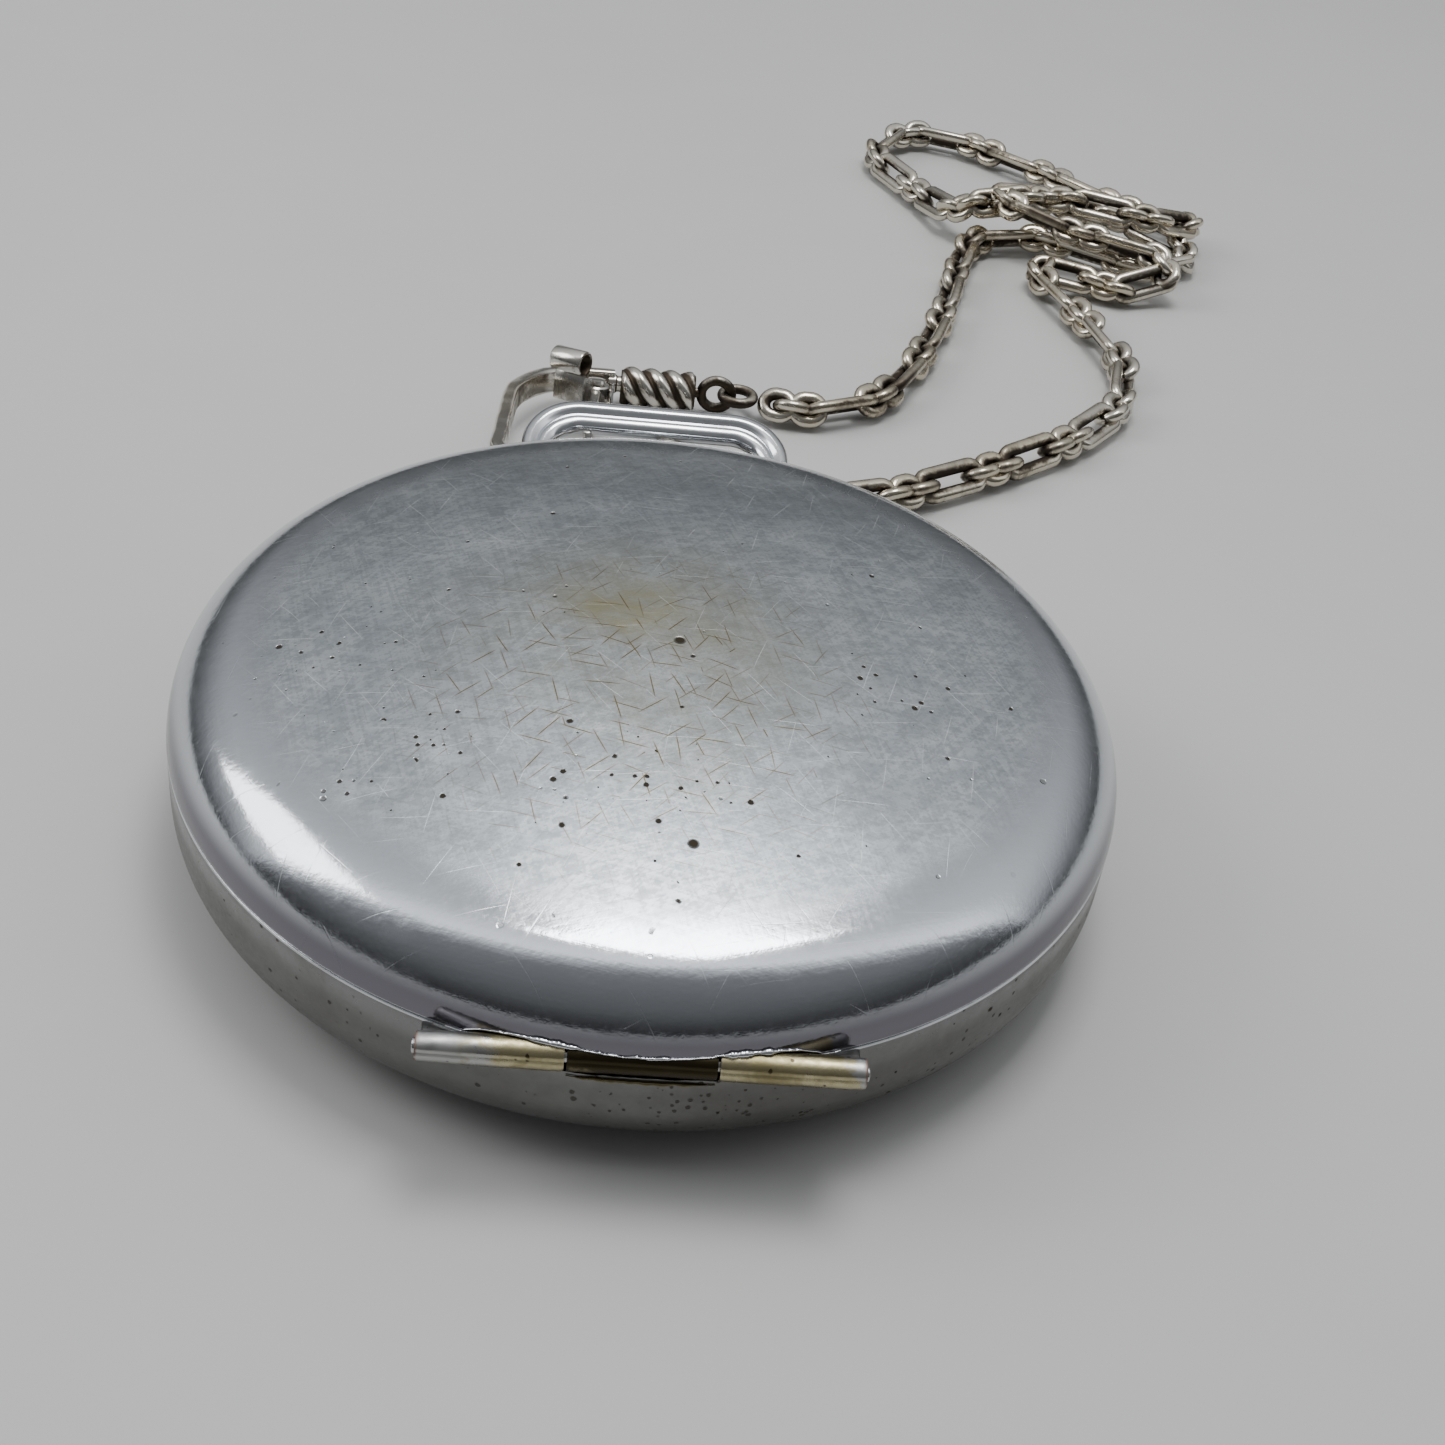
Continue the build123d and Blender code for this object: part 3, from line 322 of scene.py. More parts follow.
def spread(tree, value, low, high, newLow=0.0, newHigh=1.0):
    # smooth step from one range to another
    node = tree.nodes.new("ShaderNodeMapRange")
    node.interpolation_type = "SMOOTHSTEP"
    for source, socket in zip((value, low, high, newLow, newHigh), node.inputs):
        connect(tree, source, socket)
    return node.outputs[0]


def mixColor(tree, share, a, b, way="MIX"):
    node = tree.nodes.new("ShaderNodeMix")
    node.data_type = "RGBA"
    node.blend_type = way
    connect(tree, share, node.inputs[0])
    connect(tree, (*a, 1) if isinstance(a, tuple) else a, node.inputs[6])
    connect(tree, (*b, 1) if isinstance(b, tuple) else b, node.inputs[7])
    return node.outputs[2]


def mapped(tree, vector, scale, turn=0.0, shift=(0, 0, 0)):
    node = tree.nodes.new("ShaderNodeMapping")
    tree.links.new(vector, node.inputs["Vector"])
    node.inputs["Location"].default_value = shift
    node.inputs["Rotation"].default_value = (0, 0, turn)
    connect(tree, scale, node.inputs["Scale"])
    return node.outputs[0]


def noiseOf(tree, vector, scale, detail=2.0, rough=0.5, warp=0.0):
    node = tree.nodes.new("ShaderNodeTexNoise")
    tree.links.new(vector, node.inputs["Vector"])
    connect(tree, scale, node.inputs["Scale"])
    node.inputs["Detail"].default_value = detail
    node.inputs["Roughness"].default_value = rough
    node.inputs["Distortion"].default_value = warp
    return node.outputs[0]


def voronoi(tree, vector, scale, random=1.0):
    node = tree.nodes.new("ShaderNodeTexVoronoi")
    tree.links.new(vector, node.inputs["Vector"])
    connect(tree, scale, node.inputs["Scale"])
    node.inputs["Randomness"].default_value = random
    return node.outputs["Distance"], node.outputs["Color"]


def makeHairlines():
    # very fine rubbing marks that run every way, in three crossing layers
    group, source, result = makeGroup("hairlines", [
        ("Vector", "Vector", None), ("Across", "Float", 5000.0), ("Along", "Float", 160.0)],
        [("Lines", "Float")])
    stretch = group.nodes.new("ShaderNodeCombineXYZ")
    group.links.new(source["Along"], stretch.inputs[0])
    group.links.new(source["Across"], stretch.inputs[1])
    group.links.new(source["Across"], stretch.inputs[2])
    total = None
    for turn in (0.25, 1.3, 2.2, 2.8):
        turned = mapped(group, source["Vector"], (1, 1, 1), turn, (0.11 * turn, 0.07, 0))
        lines = noiseOf(group, mapped(group, turned, stretch.outputs[0]), 1.0, 2.0, 0.6, 0.15)
        total = lines if total is None else calc(group, "ADD", total, lines)
    group.links.new(calc(group, "MULTIPLY", total, 0.25), result["Lines"])
    return group


def makeScratches():
    # separate scratches: long thin cells, some of which hold a line
    group, source, result = makeGroup("scratches", [
        ("Vector", "Vector", None), ("Length", "Float", 0.004), ("Width", "Float", 0.00003),
        ("Share", "Float", 0.3)], [("Mask", "Float")])
    bend = group.nodes.new("ShaderNodeVectorMath")
    bend.operation = "MULTIPLY_ADD"
    wander = group.nodes.new("ShaderNodeTexNoise")
    wander.inputs["Scale"].default_value = 90
    group.links.new(source["Vector"], wander.inputs["Vector"])
    group.links.new(wander.outputs["Color"], bend.inputs[0])
    bend.inputs[1].default_value = (0.0012, 0.0012, 0)
    group.links.new(source["Vector"], bend.inputs[2])
    along = calc(group, "DIVIDE", 1.0, source["Length"])
    across = calc(group, "MULTIPLY", along, 3.0)
    stretch = group.nodes.new("ShaderNodeCombineXYZ")
    group.links.new(along, stretch.inputs[0])
    group.links.new(across, stretch.inputs[1])
    group.links.new(across, stretch.inputs[2])
    total = None
    for index, turn in enumerate((0.2, 1.2, 2.3)):
        turned = mapped(group, bend.outputs[0], (1, 1, 0), turn, (0.013 * index, 0.021 * index, 0))
        cell = group.nodes.new("ShaderNodeVectorMath")
        cell.operation = "MULTIPLY"
        group.links.new(turned, cell.inputs[0])
        group.links.new(stretch.outputs[0], cell.inputs[1])
        node = group.nodes.new("ShaderNodeTexVoronoi")
        node.inputs["Scale"].default_value = 1.0
        group.links.new(cell.outputs[0], node.inputs["Vector"])
        away = group.nodes.new("ShaderNodeVectorMath")
        away.operation = "SUBTRACT"
        group.links.new(cell.outputs[0], away.inputs[0])
        group.links.new(node.outputs["Position"], away.inputs[1])
        parts = group.nodes.new("ShaderNodeSeparateXYZ")
        group.links.new(away.outputs[0], parts.inputs[0])
        pick = group.nodes.new("ShaderNodeSeparateColor")
        group.links.new(node.outputs["Color"], pick.inputs[0])
        lean = calc(group, "MULTIPLY", calc(group, "SUBTRACT", pick.outputs[2], 0.5), 1.2)
        offset = calc(group, "ADD", parts.outputs[1], calc(group, "MULTIPLY", parts.outputs[0], lean))
        half = calc(group, "MULTIPLY", source["Width"], across)
        thin = calc(group, "SUBTRACT", 1.0, calc(group, "DIVIDE", calc(group, "ABSOLUTE", offset), half), clamp=True)
        ends = spread(group, calc(group, "ABSOLUTE", parts.outputs[0]), 0.32, 0.1)
        chosen = calc(group, "LESS_THAN", pick.outputs[0], source["Share"])
        mark = calc(group, "MULTIPLY", calc(group, "MULTIPLY", thin, ends), chosen)
        mark = calc(group, "MULTIPLY", mark, calc(group, "ADD", pick.outputs[1], 0.25))
        total = mark if total is None else calc(group, "MAXIMUM", total, mark)
    group.links.new(total, result["Mask"])
    return group


def makePits():
    # small round pits that gather in patches
    group, source, result = makeGroup("pits", [
        ("Vector", "Vector", None), ("Spacing", "Float", 0.001), ("Size", "Float", 0.00012),
        ("Share", "Float", 0.4), ("Patches", "Float", 120.0)], [("Mask", "Float")])
    scale = calc(group, "DIVIDE", 1.0, source["Spacing"])
    rough = group.nodes.new("ShaderNodeVectorMath")
    rough.operation = "MULTIPLY_ADD"
    ragged = group.nodes.new("ShaderNodeTexNoise")
    ragged.inputs["Scale"].default_value = 5000
    group.links.new(source["Vector"], ragged.inputs["Vector"])
    group.links.new(ragged.outputs["Color"], rough.inputs[0])
    rough.inputs[1].default_value = (0.00007, 0.00007, 0.00007)
    group.links.new(source["Vector"], rough.inputs[2])
    distance, color = voronoi(group, rough.outputs[0], scale)
    pick = group.nodes.new("ShaderNodeSeparateColor")
    group.links.new(color, pick.inputs[0])
    size = calc(group, "MULTIPLY", calc(group, "MULTIPLY", source["Size"], scale),
                calc(group, "ADD", calc(group, "POWER", pick.outputs[1], 2.0), 0.25))
    hole = spread(group, distance, size, calc(group, "MULTIPLY", size, 0.6))
    patch = noiseOf(group, source["Vector"], source["Patches"], 3.0, 0.6)
    limit = calc(group, "MULTIPLY", source["Share"], spread(group, patch, 0.42, 0.68, 0.12, 1.6))
    chosen = calc(group, "LESS_THAN", pick.outputs[0], limit)
    group.links.new(calc(group, "MULTIPLY", hole, chosen), result["Mask"])
    return group


def makeStains():
    # soft blotches in two sizes
    group, source, result = makeGroup("stains", [
        ("Vector", "Vector", None), ("Scale", "Float", 60.0), ("Low", "Float", 0.45), ("High", "Float", 0.7)],
        [("Mask", "Float")])
    broad = noiseOf(group, source["Vector"], source["Scale"], 5.0, 0.62, 0.4)
    fine = noiseOf(group, source["Vector"], calc(group, "MULTIPLY", source["Scale"], 9.0), 3.0, 0.6)
    value = calc(group, "ADD", calc(group, "MULTIPLY", broad, 0.78), calc(group, "MULTIPLY", fine, 0.22))
    group.links.new(spread(group, value, source["Low"], source["High"]), result["Mask"])
    return group


effects = {"hairlines": makeHairlines(), "scratches": makeScratches(), "pits": makePits(), "stains": makeStains()}


class Finish:
    # one material in the making: its tree, its shader and the shared effects placed in it
    def __init__(self, name, metal=1.0):
        self.material = bpy.data.materials.new(name)
        self.material.use_nodes = True
        self.tree = self.material.node_tree
        self.shader = self.tree.nodes["Principled BSDF"]
        self.shader.inputs["Metallic"].default_value = metal
        self.place = self.tree.nodes.new("ShaderNodeTexCoord").outputs["Object"]
        self.last = None

    def effect(self, kind, vector=None, **values):
        node = self.tree.nodes.new("ShaderNodeGroup")
        node.node_tree = effects[kind]
        self.tree.links.new(vector or self.place, node.inputs["Vector"])
        for label, value in values.items():
            connect(self.tree, value, node.inputs[label])
        return node.outputs[0]

    def bump(self, height, distance, strength=1.0):
        # bumps are chained, each one over the one before
        node = self.tree.nodes.new("ShaderNodeBump")
        node.inputs["Strength"].default_value = strength
        node.inputs["Distance"].default_value = distance
        self.tree.links.new(height, node.inputs["Height"])
        if self.last:
            self.tree.links.new(self.last, node.inputs["Normal"])
        self.last = node.outputs[0]

    def axes(self):
        node = self.tree.nodes.new("ShaderNodeSeparateXYZ")
        self.tree.links.new(self.place, node.inputs[0])
        return node.outputs

    def radius(self, x=0.0, y=0.0):
        # distance from an upright line
        node = self.tree.nodes.new("ShaderNodeVectorMath")
        node.operation = "DISTANCE"
        flat = mapped(self.tree, self.place, (1, 1, 0))
        self.tree.links.new(flat, node.inputs[0])
        node.inputs[1].default_value = (x, y, 0)
        return node.outputs["Value"]

    def wearAndShade(self, name="wearAndShade"):
        node = self.tree.nodes.new("ShaderNodeAttribute")
        node.attribute_name = name
        return node.outputs["Fac"]

    def done(self, color, roughness):
        connect(self.tree, color, self.shader.inputs["Base Color"])
        connect(self.tree, roughness, self.shader.inputs["Roughness"])
        if self.last:
            self.tree.links.new(self.last, self.shader.inputs["Normal"])
        return self.material


# lid finish: satin chrome with a polished shoulder
lidLook = {
    "bright": (0.56, 0.60, 0.635),
    "dull": (0.42, 0.455, 0.485),
    "warm": (0.40, 0.37, 0.24),
    "pit": (0.05, 0.042, 0.03),
    "scratch": (0.20, 0.155, 0.07),
    # painted dark reflection for the lid's steep side below the shoulder
    "wall": (0.18, 0.175, 0.20),
    "clusters": ((-0.0165, -0.0034, 0.006), (-0.013, -0.0105, 0.0062), (-0.001, -0.0125, 0.0068), (0.011, -0.0052, 0.004)),
    "satin": 0.32,
    "polished": 0.12,
}


def lidFinish():
    f = Finish("satinChrome")
    t = f.tree
    x, y, z = f.axes()
    reach = f.radius()
    shoulder = spread(t, reach, 0.0188, 0.0222)
    lines = f.effect("hairlines", Across=5200.0, Along=140.0)
    coarse = f.effect("hairlines", Across=1700.0, Along=70.0)
    cloud = f.effect("stains", Scale=75.0, Low=0.36, High=0.66)
    haze = f.effect("stains", Scale=260.0, Low=0.42, High=0.7)
    # one brownish stain just beyond the middle, faint over a wide area and with a small core
    stain = spread(t, f.radius(-0.0019, 0.0002), 0.0042, 0.0008)
    halo = spread(t, f.radius(-0.001, -0.002), 0.014, 0.001, 0.0, 0.5)
    stain = calc(t, "MULTIPLY", calc(t, "ADD", calc(t, "MULTIPLY", stain, 0.5), halo),
                 calc(t, "ADD", cloud, 0.35), clamp=True)
    # the pits crowd together in a few places
    crowd = 0.0
    for spotX, spotY, width in lidLook["clusters"]:
        crowd = calc(t, "MAXIMUM", crowd, spread(t, f.radius(spotX, spotY), width, width * 0.3))
    pits = f.effect("pits", Spacing=0.00055, Size=0.00017, Share=spread(t, crowd, 0.0, 1.0, 0.07, 0.6), Patches=260.0)
    large = f.effect("pits", Spacing=0.0016, Size=0.00027, Share=spread(t, crowd, 0.0, 1.0, 0.06, 0.3), Patches=90.0)
    dots = calc(t, "MAXIMUM", pits, large)
    spot = spread(t, f.radius(0.00094, -0.00217), 0.00036, 0.0002)
    dots = calc(t, "MAXIMUM", dots, spot)
    dots = calc(t, "MULTIPLY", dots, spread(t, reach, 0.0235, 0.019))
    brown = f.effect("scratches", Length=0.0034, Width=0.000045, Share=0.8)
    middle = spread(t, f.radius(-0.001, -0.006), 0.015, 0.005, 0.08, 1.0)
    brown = calc(t, "MULTIPLY", brown, middle)
    bright = f.effect("scratches", vector=mapped(t, f.place, (1, 1, 1), 0.7, (0.05, 0.02, 0)),
                      Length=0.0052, Width=0.00003, Share=0.7)
    color = mixColor(t, cloud, lidLook["bright"], lidLook["dull"])
    color = mixColor(t, calc(t, "MULTIPLY", haze, 0.22), color, (0.66, 0.68, 0.70))
    color = mixColor(t, spread(t, coarse, 0.47, 0.56, 0.0, 0.36), color, (0.26, 0.285, 0.31))
    color = mixColor(t, spread(t, lines, 0.475, 0.55, 0.0, 0.5), color, (0.25, 0.27, 0.29))
    color = mixColor(t, stain, color, lidLook["warm"])
    color = mixColor(t, calc(t, "MULTIPLY", bright, 0.45), color, (0.72, 0.74, 0.76))
    color = mixColor(t, calc(t, "MULTIPLY", brown, 1.5, clamp=True), color, lidLook["scratch"])
    color = mixColor(t, shoulder, color, (0.60, 0.625, 0.665))
    # painted dark reflection: the lid's steep side, below the shoulder, is coloured dark
    color = mixColor(t, spread(t, z, 0.0101, 0.0087), color, lidLook["wall"])
    color = mixColor(t, dots, color, lidLook["pit"])
    rough = spread(t, shoulder, 0.0, 1.0, lidLook["satin"], lidLook["polished"])
    rough = calc(t, "ADD", rough, calc(t, "MULTIPLY", calc(t, "SUBTRACT", lines, 0.5), 0.35))
    rough = calc(t, "ADD", rough, calc(t, "MULTIPLY", haze, 0.07))
    rough = calc(t, "ADD", rough, calc(t, "MULTIPLY", bright, 0.14))
    rough = calc(t, "MAXIMUM", rough, calc(t, "MULTIPLY", dots, 0.7))
    f.bump(lines, 0.000011, 0.9)
    f.bump(coarse, 0.000018, 0.8)
    f.bump(calc(t, "SUBTRACT", 1.0, calc(t, "MAXIMUM", brown, bright)), 0.000004, 0.5)
    f.bump(calc(t, "SUBTRACT", 1.0, dots), 0.00005, 0.7)
    return f.done(color, rough)


def shellFinish():
    # the lower shell: rubbed dull, greyer and speckled with small pits
    f = Finish("dullChrome")
    t = f.tree
    x, y, z = f.axes()
    lines = f.effect("hairlines", Across=4200.0, Along=420.0)
    cloud = f.effect("stains", Scale=110.0, Low=0.38, High=0.68)
    grit = f.effect("pits", Spacing=0.00042, Size=0.00014, Share=0.62, Patches=150.0)
    large = f.effect("pits", Spacing=0.0009, Size=0.00019, Share=0.42, Patches=110.0)
    dots = calc(t, "MAXIMUM", calc(t, "MULTIPLY", grit, 0.75), large)
    low = spread(t, z, 0.0072, 0.0056)  # darker and rougher towards the bottom of the shell
    color = mixColor(t, cloud, (0.235, 0.237, 0.235), (0.16, 0.157, 0.15))
    color = mixColor(t, calc(t, "MULTIPLY", low, 0.45), color, (0.12, 0.117, 0.108))
    color = mixColor(t, dots, color, (0.06, 0.052, 0.04))
    rough = calc(t, "ADD", spread(t, low, 0.0, 1.0, 0.30, 0.44),
                 calc(t, "MULTIPLY", calc(t, "SUBTRACT", lines, 0.5), 0.4))
    rough = calc(t, "MAXIMUM", rough, calc(t, "MULTIPLY", dots, 0.7))
    f.bump(lines, 0.000006, 0.7)
    f.bump(noiseOf(t, f.place, 2600.0, 3.0, 0.6), 0.000012, 0.5)
    f.bump(calc(t, "SUBTRACT", 1.0, dots), 0.00005, 0.7)
    return f.done(color, rough)


def polishedFinish(name, base=(0.66, 0.675, 0.70), rough=0.12, dirt=(0.10, 0.09, 0.075), dirtShare=0.5):
    # bright plating with light handling marks
    f = Finish(name)
    t = f.tree
    lines = f.effect("hairlines", Across=5200.0, Along=500.0)
    cloud = f.effect("stains", Scale=170.0, Low=0.46, High=0.74)
    spots = f.effect("pits", Spacing=0.0009, Size=0.0001, Share=0.16, Patches=200.0)
    color = mixColor(t, calc(t, "MULTIPLY", cloud, dirtShare), base, dirt)
    color = mixColor(t, spots, color, (0.06, 0.05, 0.04))
    value = calc(t, "ADD", rough, calc(t, "MULTIPLY", calc(t, "SUBTRACT", lines, 0.5), 0.3))
    value = calc(t, "ADD", value, calc(t, "MULTIPLY", cloud, 0.16))
    f.bump(lines, 0.000005, 0.5)
    f.bump(calc(t, "SUBTRACT", 1.0, spots), 0.00003, 0.5)
    return f.done(color, value)


def agedFinish(name, bright, tarnish, rough=0.2, roughTarnish=0.55):
    # silver that is dark wherever wearAndShade is low: tarnish where nothing rubs it, and painted shade where a piece's
    # rule sets it low; it is 1 on the proud parts
    f = Finish(name)
    t = f.tree
    lines = f.effect("hairlines", Across=6000.0, Along=900.0)
    cloud = f.effect("stains", Scale=300.0, Low=0.34, High=0.62)
    blot = f.effect("stains", Scale=70.0, Low=0.38, High=0.66)
    keep = calc(t, "SUBTRACT", f.wearAndShade(), calc(t, "MULTIPLY", cloud, 0.35))
    keep = calc(t, "SUBTRACT", keep, calc(t, "MULTIPLY", blot, 0.2))
    dark = spread(t, keep, 0.6, 0.2)
    warm = mixColor(t, calc(t, "MULTIPLY", blot, 0.6), bright, tuple(a * b for a, b in zip(bright, (0.9, 0.8, 0.62))))
    color = mixColor(t, dark, warm, tarnish)
    value = calc(t, "ADD", spread(t, dark, 0.0, 1.0, rough, roughTarnish),
                 calc(t, "MULTIPLY", calc(t, "SUBTRACT", lines, 0.5), 0.3))
    f.bump(lines, 0.000006, 0.6)
    f.bump(noiseOf(t, f.place, 3500.0, 3.0, 0.6), 0.00001, 0.5)
    return f.done(color, value)


def brassFinish():
    # hinge tubes: brass showing through, silvery at one end, rust round the pin, and painted shade on their lower half
    f = Finish("wornBrass")
    t = f.tree
    x, y, z = f.axes()
    cloud = f.effect("stains", Scale=320.0, Low=0.36, High=0.64)
    edge = calc(t, "ADD", x, calc(t, "MULTIPLY", calc(t, "SUBTRACT", cloud, 0.5), 0.0016))
    silver = spread(t, edge, -0.0066, -0.0078)
    silver = calc(t, "MAXIMUM", silver, spread(t, edge, 0.0088, 0.0096))
    lines = f.effect("hairlines", Across=6000.0, Along=500.0)
    grime = f.effect("pits", Spacing=0.0005, Size=0.00013, Share=0.3, Patches=400.0)
    color = mixColor(t, cloud, (0.52, 0.465, 0.29), (0.30, 0.26, 0.14))
    color = mixColor(t, silver, color, (0.44, 0.44, 0.43))
    # painted shade: the lower half of each tube is darkened
    color = mixColor(t, spread(t, z, 0.0076, 0.0070, 0.0, 0.75), color, (0.13, 0.11, 0.06))
    color = mixColor(t, grime, color, (0.09, 0.07, 0.04))
    rust = calc(t, "MULTIPLY", spread(t, calc(t, "ABSOLUTE", x), 0.00975, 0.00989),
                spread(t, cloud, 0.2, 0.5))
    color = mixColor(t, calc(t, "MULTIPLY", rust, 0.8), color, (0.20, 0.085, 0.045))
    value = calc(t, "ADD", 0.24, calc(t, "MULTIPLY", cloud, 0.2))
    value = calc(t, "MAXIMUM", value, calc(t, "MULTIPLY", rust, 0.75))
    f.bump(lines, 0.000008, 0.6)
    f.bump(noiseOf(t, f.place, 1500.0, 3.0, 0.6), 0.00003, 0.5)
    return f.done(color, value)


def plainMetal(name, base, rough, ring=None, dark=(0.1, 0.08, 0.06)):
    # movement metals; ring gives fine turned rings about the middle
    f = Finish(name)
    t = f.tree
    lines = f.effect("hairlines", Across=4200.0, Along=260.0)
    cloud = f.effect("stains", Scale=240.0, Low=0.42, High=0.72)
    color = mixColor(t, calc(t, "MULTIPLY", cloud, 0.4), base, tuple(0.6 * c for c in base))
    spots = f.effect("pits", Spacing=0.0012, Size=0.0001, Share=0.15, Patches=300.0)
    color = mixColor(t, spots, color, dark)
    value = calc(t, "ADD", rough, calc(t, "MULTIPLY", calc(t, "SUBTRACT", lines, 0.5), 0.35))
    f.bump(lines, 0.000006, 0.6)
    if ring:
        turned = calc(t, "SINE", calc(t, "MULTIPLY", f.radius(), fullTurn / ring))
        f.bump(turned, 0.000004, 0.5)
    return f.done(color, value)


def perlageFinish():
    # rows of overlapping polished circles
    f = Finish("spottedPlate")
    t = f.tree
    distance, color = voronoi(t, mapped(t, f.place, (1, 1, 0)), 850.0, 0.0)
    rings = calc(t, "SINE", calc(t, "MULTIPLY", distance, 60.0))
    cloud = f.effect("stains", Scale=200.0, Low=0.42, High=0.72)
    shade = mixColor(t, calc(t, "MULTIPLY", cloud, 0.4), (0.72, 0.60, 0.36), (0.45, 0.36, 0.2))
    value = calc(t, "ADD", spread(t, distance, 0.1, 0.7, 0.18, 0.34), calc(t, "MULTIPLY", cloud, 0.1))
    f.bump(rings, 0.000005, 0.6)
    f.bump(calc(t, "SUBTRACT", 1.0, distance), 0.00001, 0.6)
    return f.done(shade, value)


def wavedFinish():
    # bridges with broad straight waves, plated
    f = Finish("wavedBridges")
    t = f.tree
    x, y, z = f.axes()
    across = calc(t, "ADD", calc(t, "MULTIPLY", x, 0.8), calc(t, "MULTIPLY", y, 0.6))
    wave = calc(t, "FRACT", calc(t, "MULTIPLY", across, 620.0))
    fine = noiseOf(t, mapped(t, f.place, (300, 9000, 300), 0.9273), 1.0, 2.0, 0.6)
    cloud = f.effect("stains", Scale=200.0, Low=0.42, High=0.72)
    color = mixColor(t, calc(t, "MULTIPLY", cloud, 0.4), (0.66, 0.64, 0.58), (0.44, 0.40, 0.32))
    f.bump(wave, 0.00002, 0.6)
    f.bump(fine, 0.000005, 0.6)
    return f.done(color, spread(t, wave, 0.0, 1.0, 0.2, 0.32))


def enamelFinish():
    f = Finish("dialEnamel", 0.0)
    t = f.tree
    cloud = f.effect("stains", Scale=70.0, Low=0.4, High=0.75)
    crazing = f.effect("scratches", Length=0.005, Width=0.000012, Share=0.05)
    spots = f.effect("pits", Spacing=0.0024, Size=0.00008, Share=0.25, Patches=120.0)
    color = mixColor(t, cloud, (0.84, 0.82, 0.76), (0.76, 0.71, 0.59))
    color = mixColor(t, calc(t, "MULTIPLY", crazing, 0.4), color, (0.4, 0.34, 0.25))
    color = mixColor(t, spots, color, (0.3, 0.24, 0.16))
    value = calc(t, "ADD", 0.2, calc(t, "MULTIPLY", cloud, 0.14))
    f.shader.inputs["Coat Weight"].default_value = 0.4
    f.bump(noiseOf(t, f.place, 900.0, 2.0, 0.5), 0.000005, 0.5)
    return f.done(color, value)


def inkFinish():
    f = Finish("printedInk", 0.0)
    t = f.tree
    cloud = f.effect("stains", Scale=500.0, Low=0.4, High=0.7)
    color = mixColor(t, cloud, (0.012, 0.012, 0.016), (0.045, 0.042, 0.04))
    f.bump(noiseOf(t, f.place, 5000.0, 2.0, 0.5), 0.000006, 0.5)
    return f.done(color, calc(t, "ADD", 0.32, calc(t, "MULTIPLY", cloud, 0.2)))


def bluedFinish():
    f = Finish("bluedSteel")
    t = f.tree
    cloud = f.effect("stains", Scale=300.0, Low=0.35, High=0.7)
    lines = f.effect("hairlines", Across=6000.0, Along=200.0)
    color = mixColor(t, cloud, (0.03, 0.055, 0.20), (0.055, 0.05, 0.14))
    f.bump(lines, 0.000004, 0.5)
    return f.done(color, calc(t, "ADD", 0.16, calc(t, "MULTIPLY", cloud, 0.14)))


def glassFinish():
    f = Finish("watchGlass", 0.0)
    t = f.tree
    marks = f.effect("scratches", Length=0.004, Width=0.000015, Share=0.12)
    lines = f.effect("hairlines", Across=6000.0, Along=120.0)
    f.shader.inputs["Transmission Weight"].default_value = 1.0
    f.shader.inputs["IOR"].default_value = 1.49
    color = mixColor(t, calc(t, "MULTIPLY", marks, 0.3), (0.97, 0.98, 0.98), (0.8, 0.8, 0.78))
    value = calc(t, "ADD", 0.015, calc(t, "ADD", calc(t, "MULTIPLY", marks, 0.2),
                                       calc(t, "MULTIPLY", spread(t, lines, 0.5, 0.7), 0.03)))
    return f.done(color, value)


def floorFinish():
    f = Finish("paleFloor", 0.0)
    t = f.tree
    cloud = f.effect("stains", Scale=12.0, Low=0.3, High=0.8)
    color = mixColor(t, cloud, (0.55, 0.55, 0.54), (0.52, 0.52, 0.51))
    f.bump(noiseOf(t, f.place, 1600.0, 3.0, 0.5), 0.00002, 0.3)
    return f.done(color, 0.55)


satin = lidFinish()
dull = shellFinish()
bright = polishedFinish("brightChrome")
claspMetal = agedFinish("claspMetal", (0.66, 0.64, 0.60), (0.07, 0.055, 0.04))
silver = agedFinish("agedSilver", (0.64, 0.60, 0.52), (0.055, 0.043, 0.033))
brass = brassFinish()
steel = plainMetal("greySteel", (0.52, 0.52, 0.53), 0.24)
gilt = plainMetal("giltBrass", (0.72, 0.58, 0.31), 0.24)
turned = plainMetal("turnedInside", (0.60, 0.61, 0.62), 0.24, ring=0.00016)
# a darker copy of the brass as painted shade, for the middle knuckle and the cut faces inside the hinge slots
shadedBrass = agedFinish("shadedBrass", (0.34, 0.29, 0.16), (0.045, 0.036, 0.02), 0.25, 0.38)
spotted = perlageFinish()
striped = wavedFinish()
snailed = plainMetal("snailedSteel", (0.56, 0.56, 0.57), 0.2)
enamel = enamelFinish()
ink = inkFinish()
blued = bluedFinish()
glass = glassFinish()
print("finishes made")

# chain: its route is the chain solids' own points, with more in the heap
chainSet = {
    "axis": 1.45,
    "wireWide": 0.5,
    "wireThin": 0.43,
    "longLink": 6.4,
    "shortLink": 3.1,
    "linkWidth": 2.75,
    "overlap": 0.98,
    "tilt": 40,
}
nearRoute = [(7.82, 47.2), (10.3, 46.3), (13.1, 46.5), (15.7, 47.9), (17.9, 50.3), (19.8, 53.8),
             (21.9, 59.3), (24.0, 66.0), (25.2, 71.6), (26.45, 77.1)]
firstHeap = [(28.4, 80.6, 1.45), (32.6, 82.0, 1.5), (37.6, 79.6, 1.45), (42.6, 76.6, 1.45), (46.6, 78.2, 1.45),
             (47.4, 82.4, 1.5), (43.6, 85.4, 2.0), (38.0, 85.2, 3.0), (32.6, 83.4, 4.4), (28.6, 82.0, 4.3),
             (25.9, 82.9, 2.4)]
loopRoute = [(25.0, 86.0), (23.3, 90.5), (20.6, 94.2), (20.2, 99.0), (23.4, 103.4), (28.0, 103.8),
             (32.0, 100.2), (35.6, 97.6), (39.5, 93.3)]
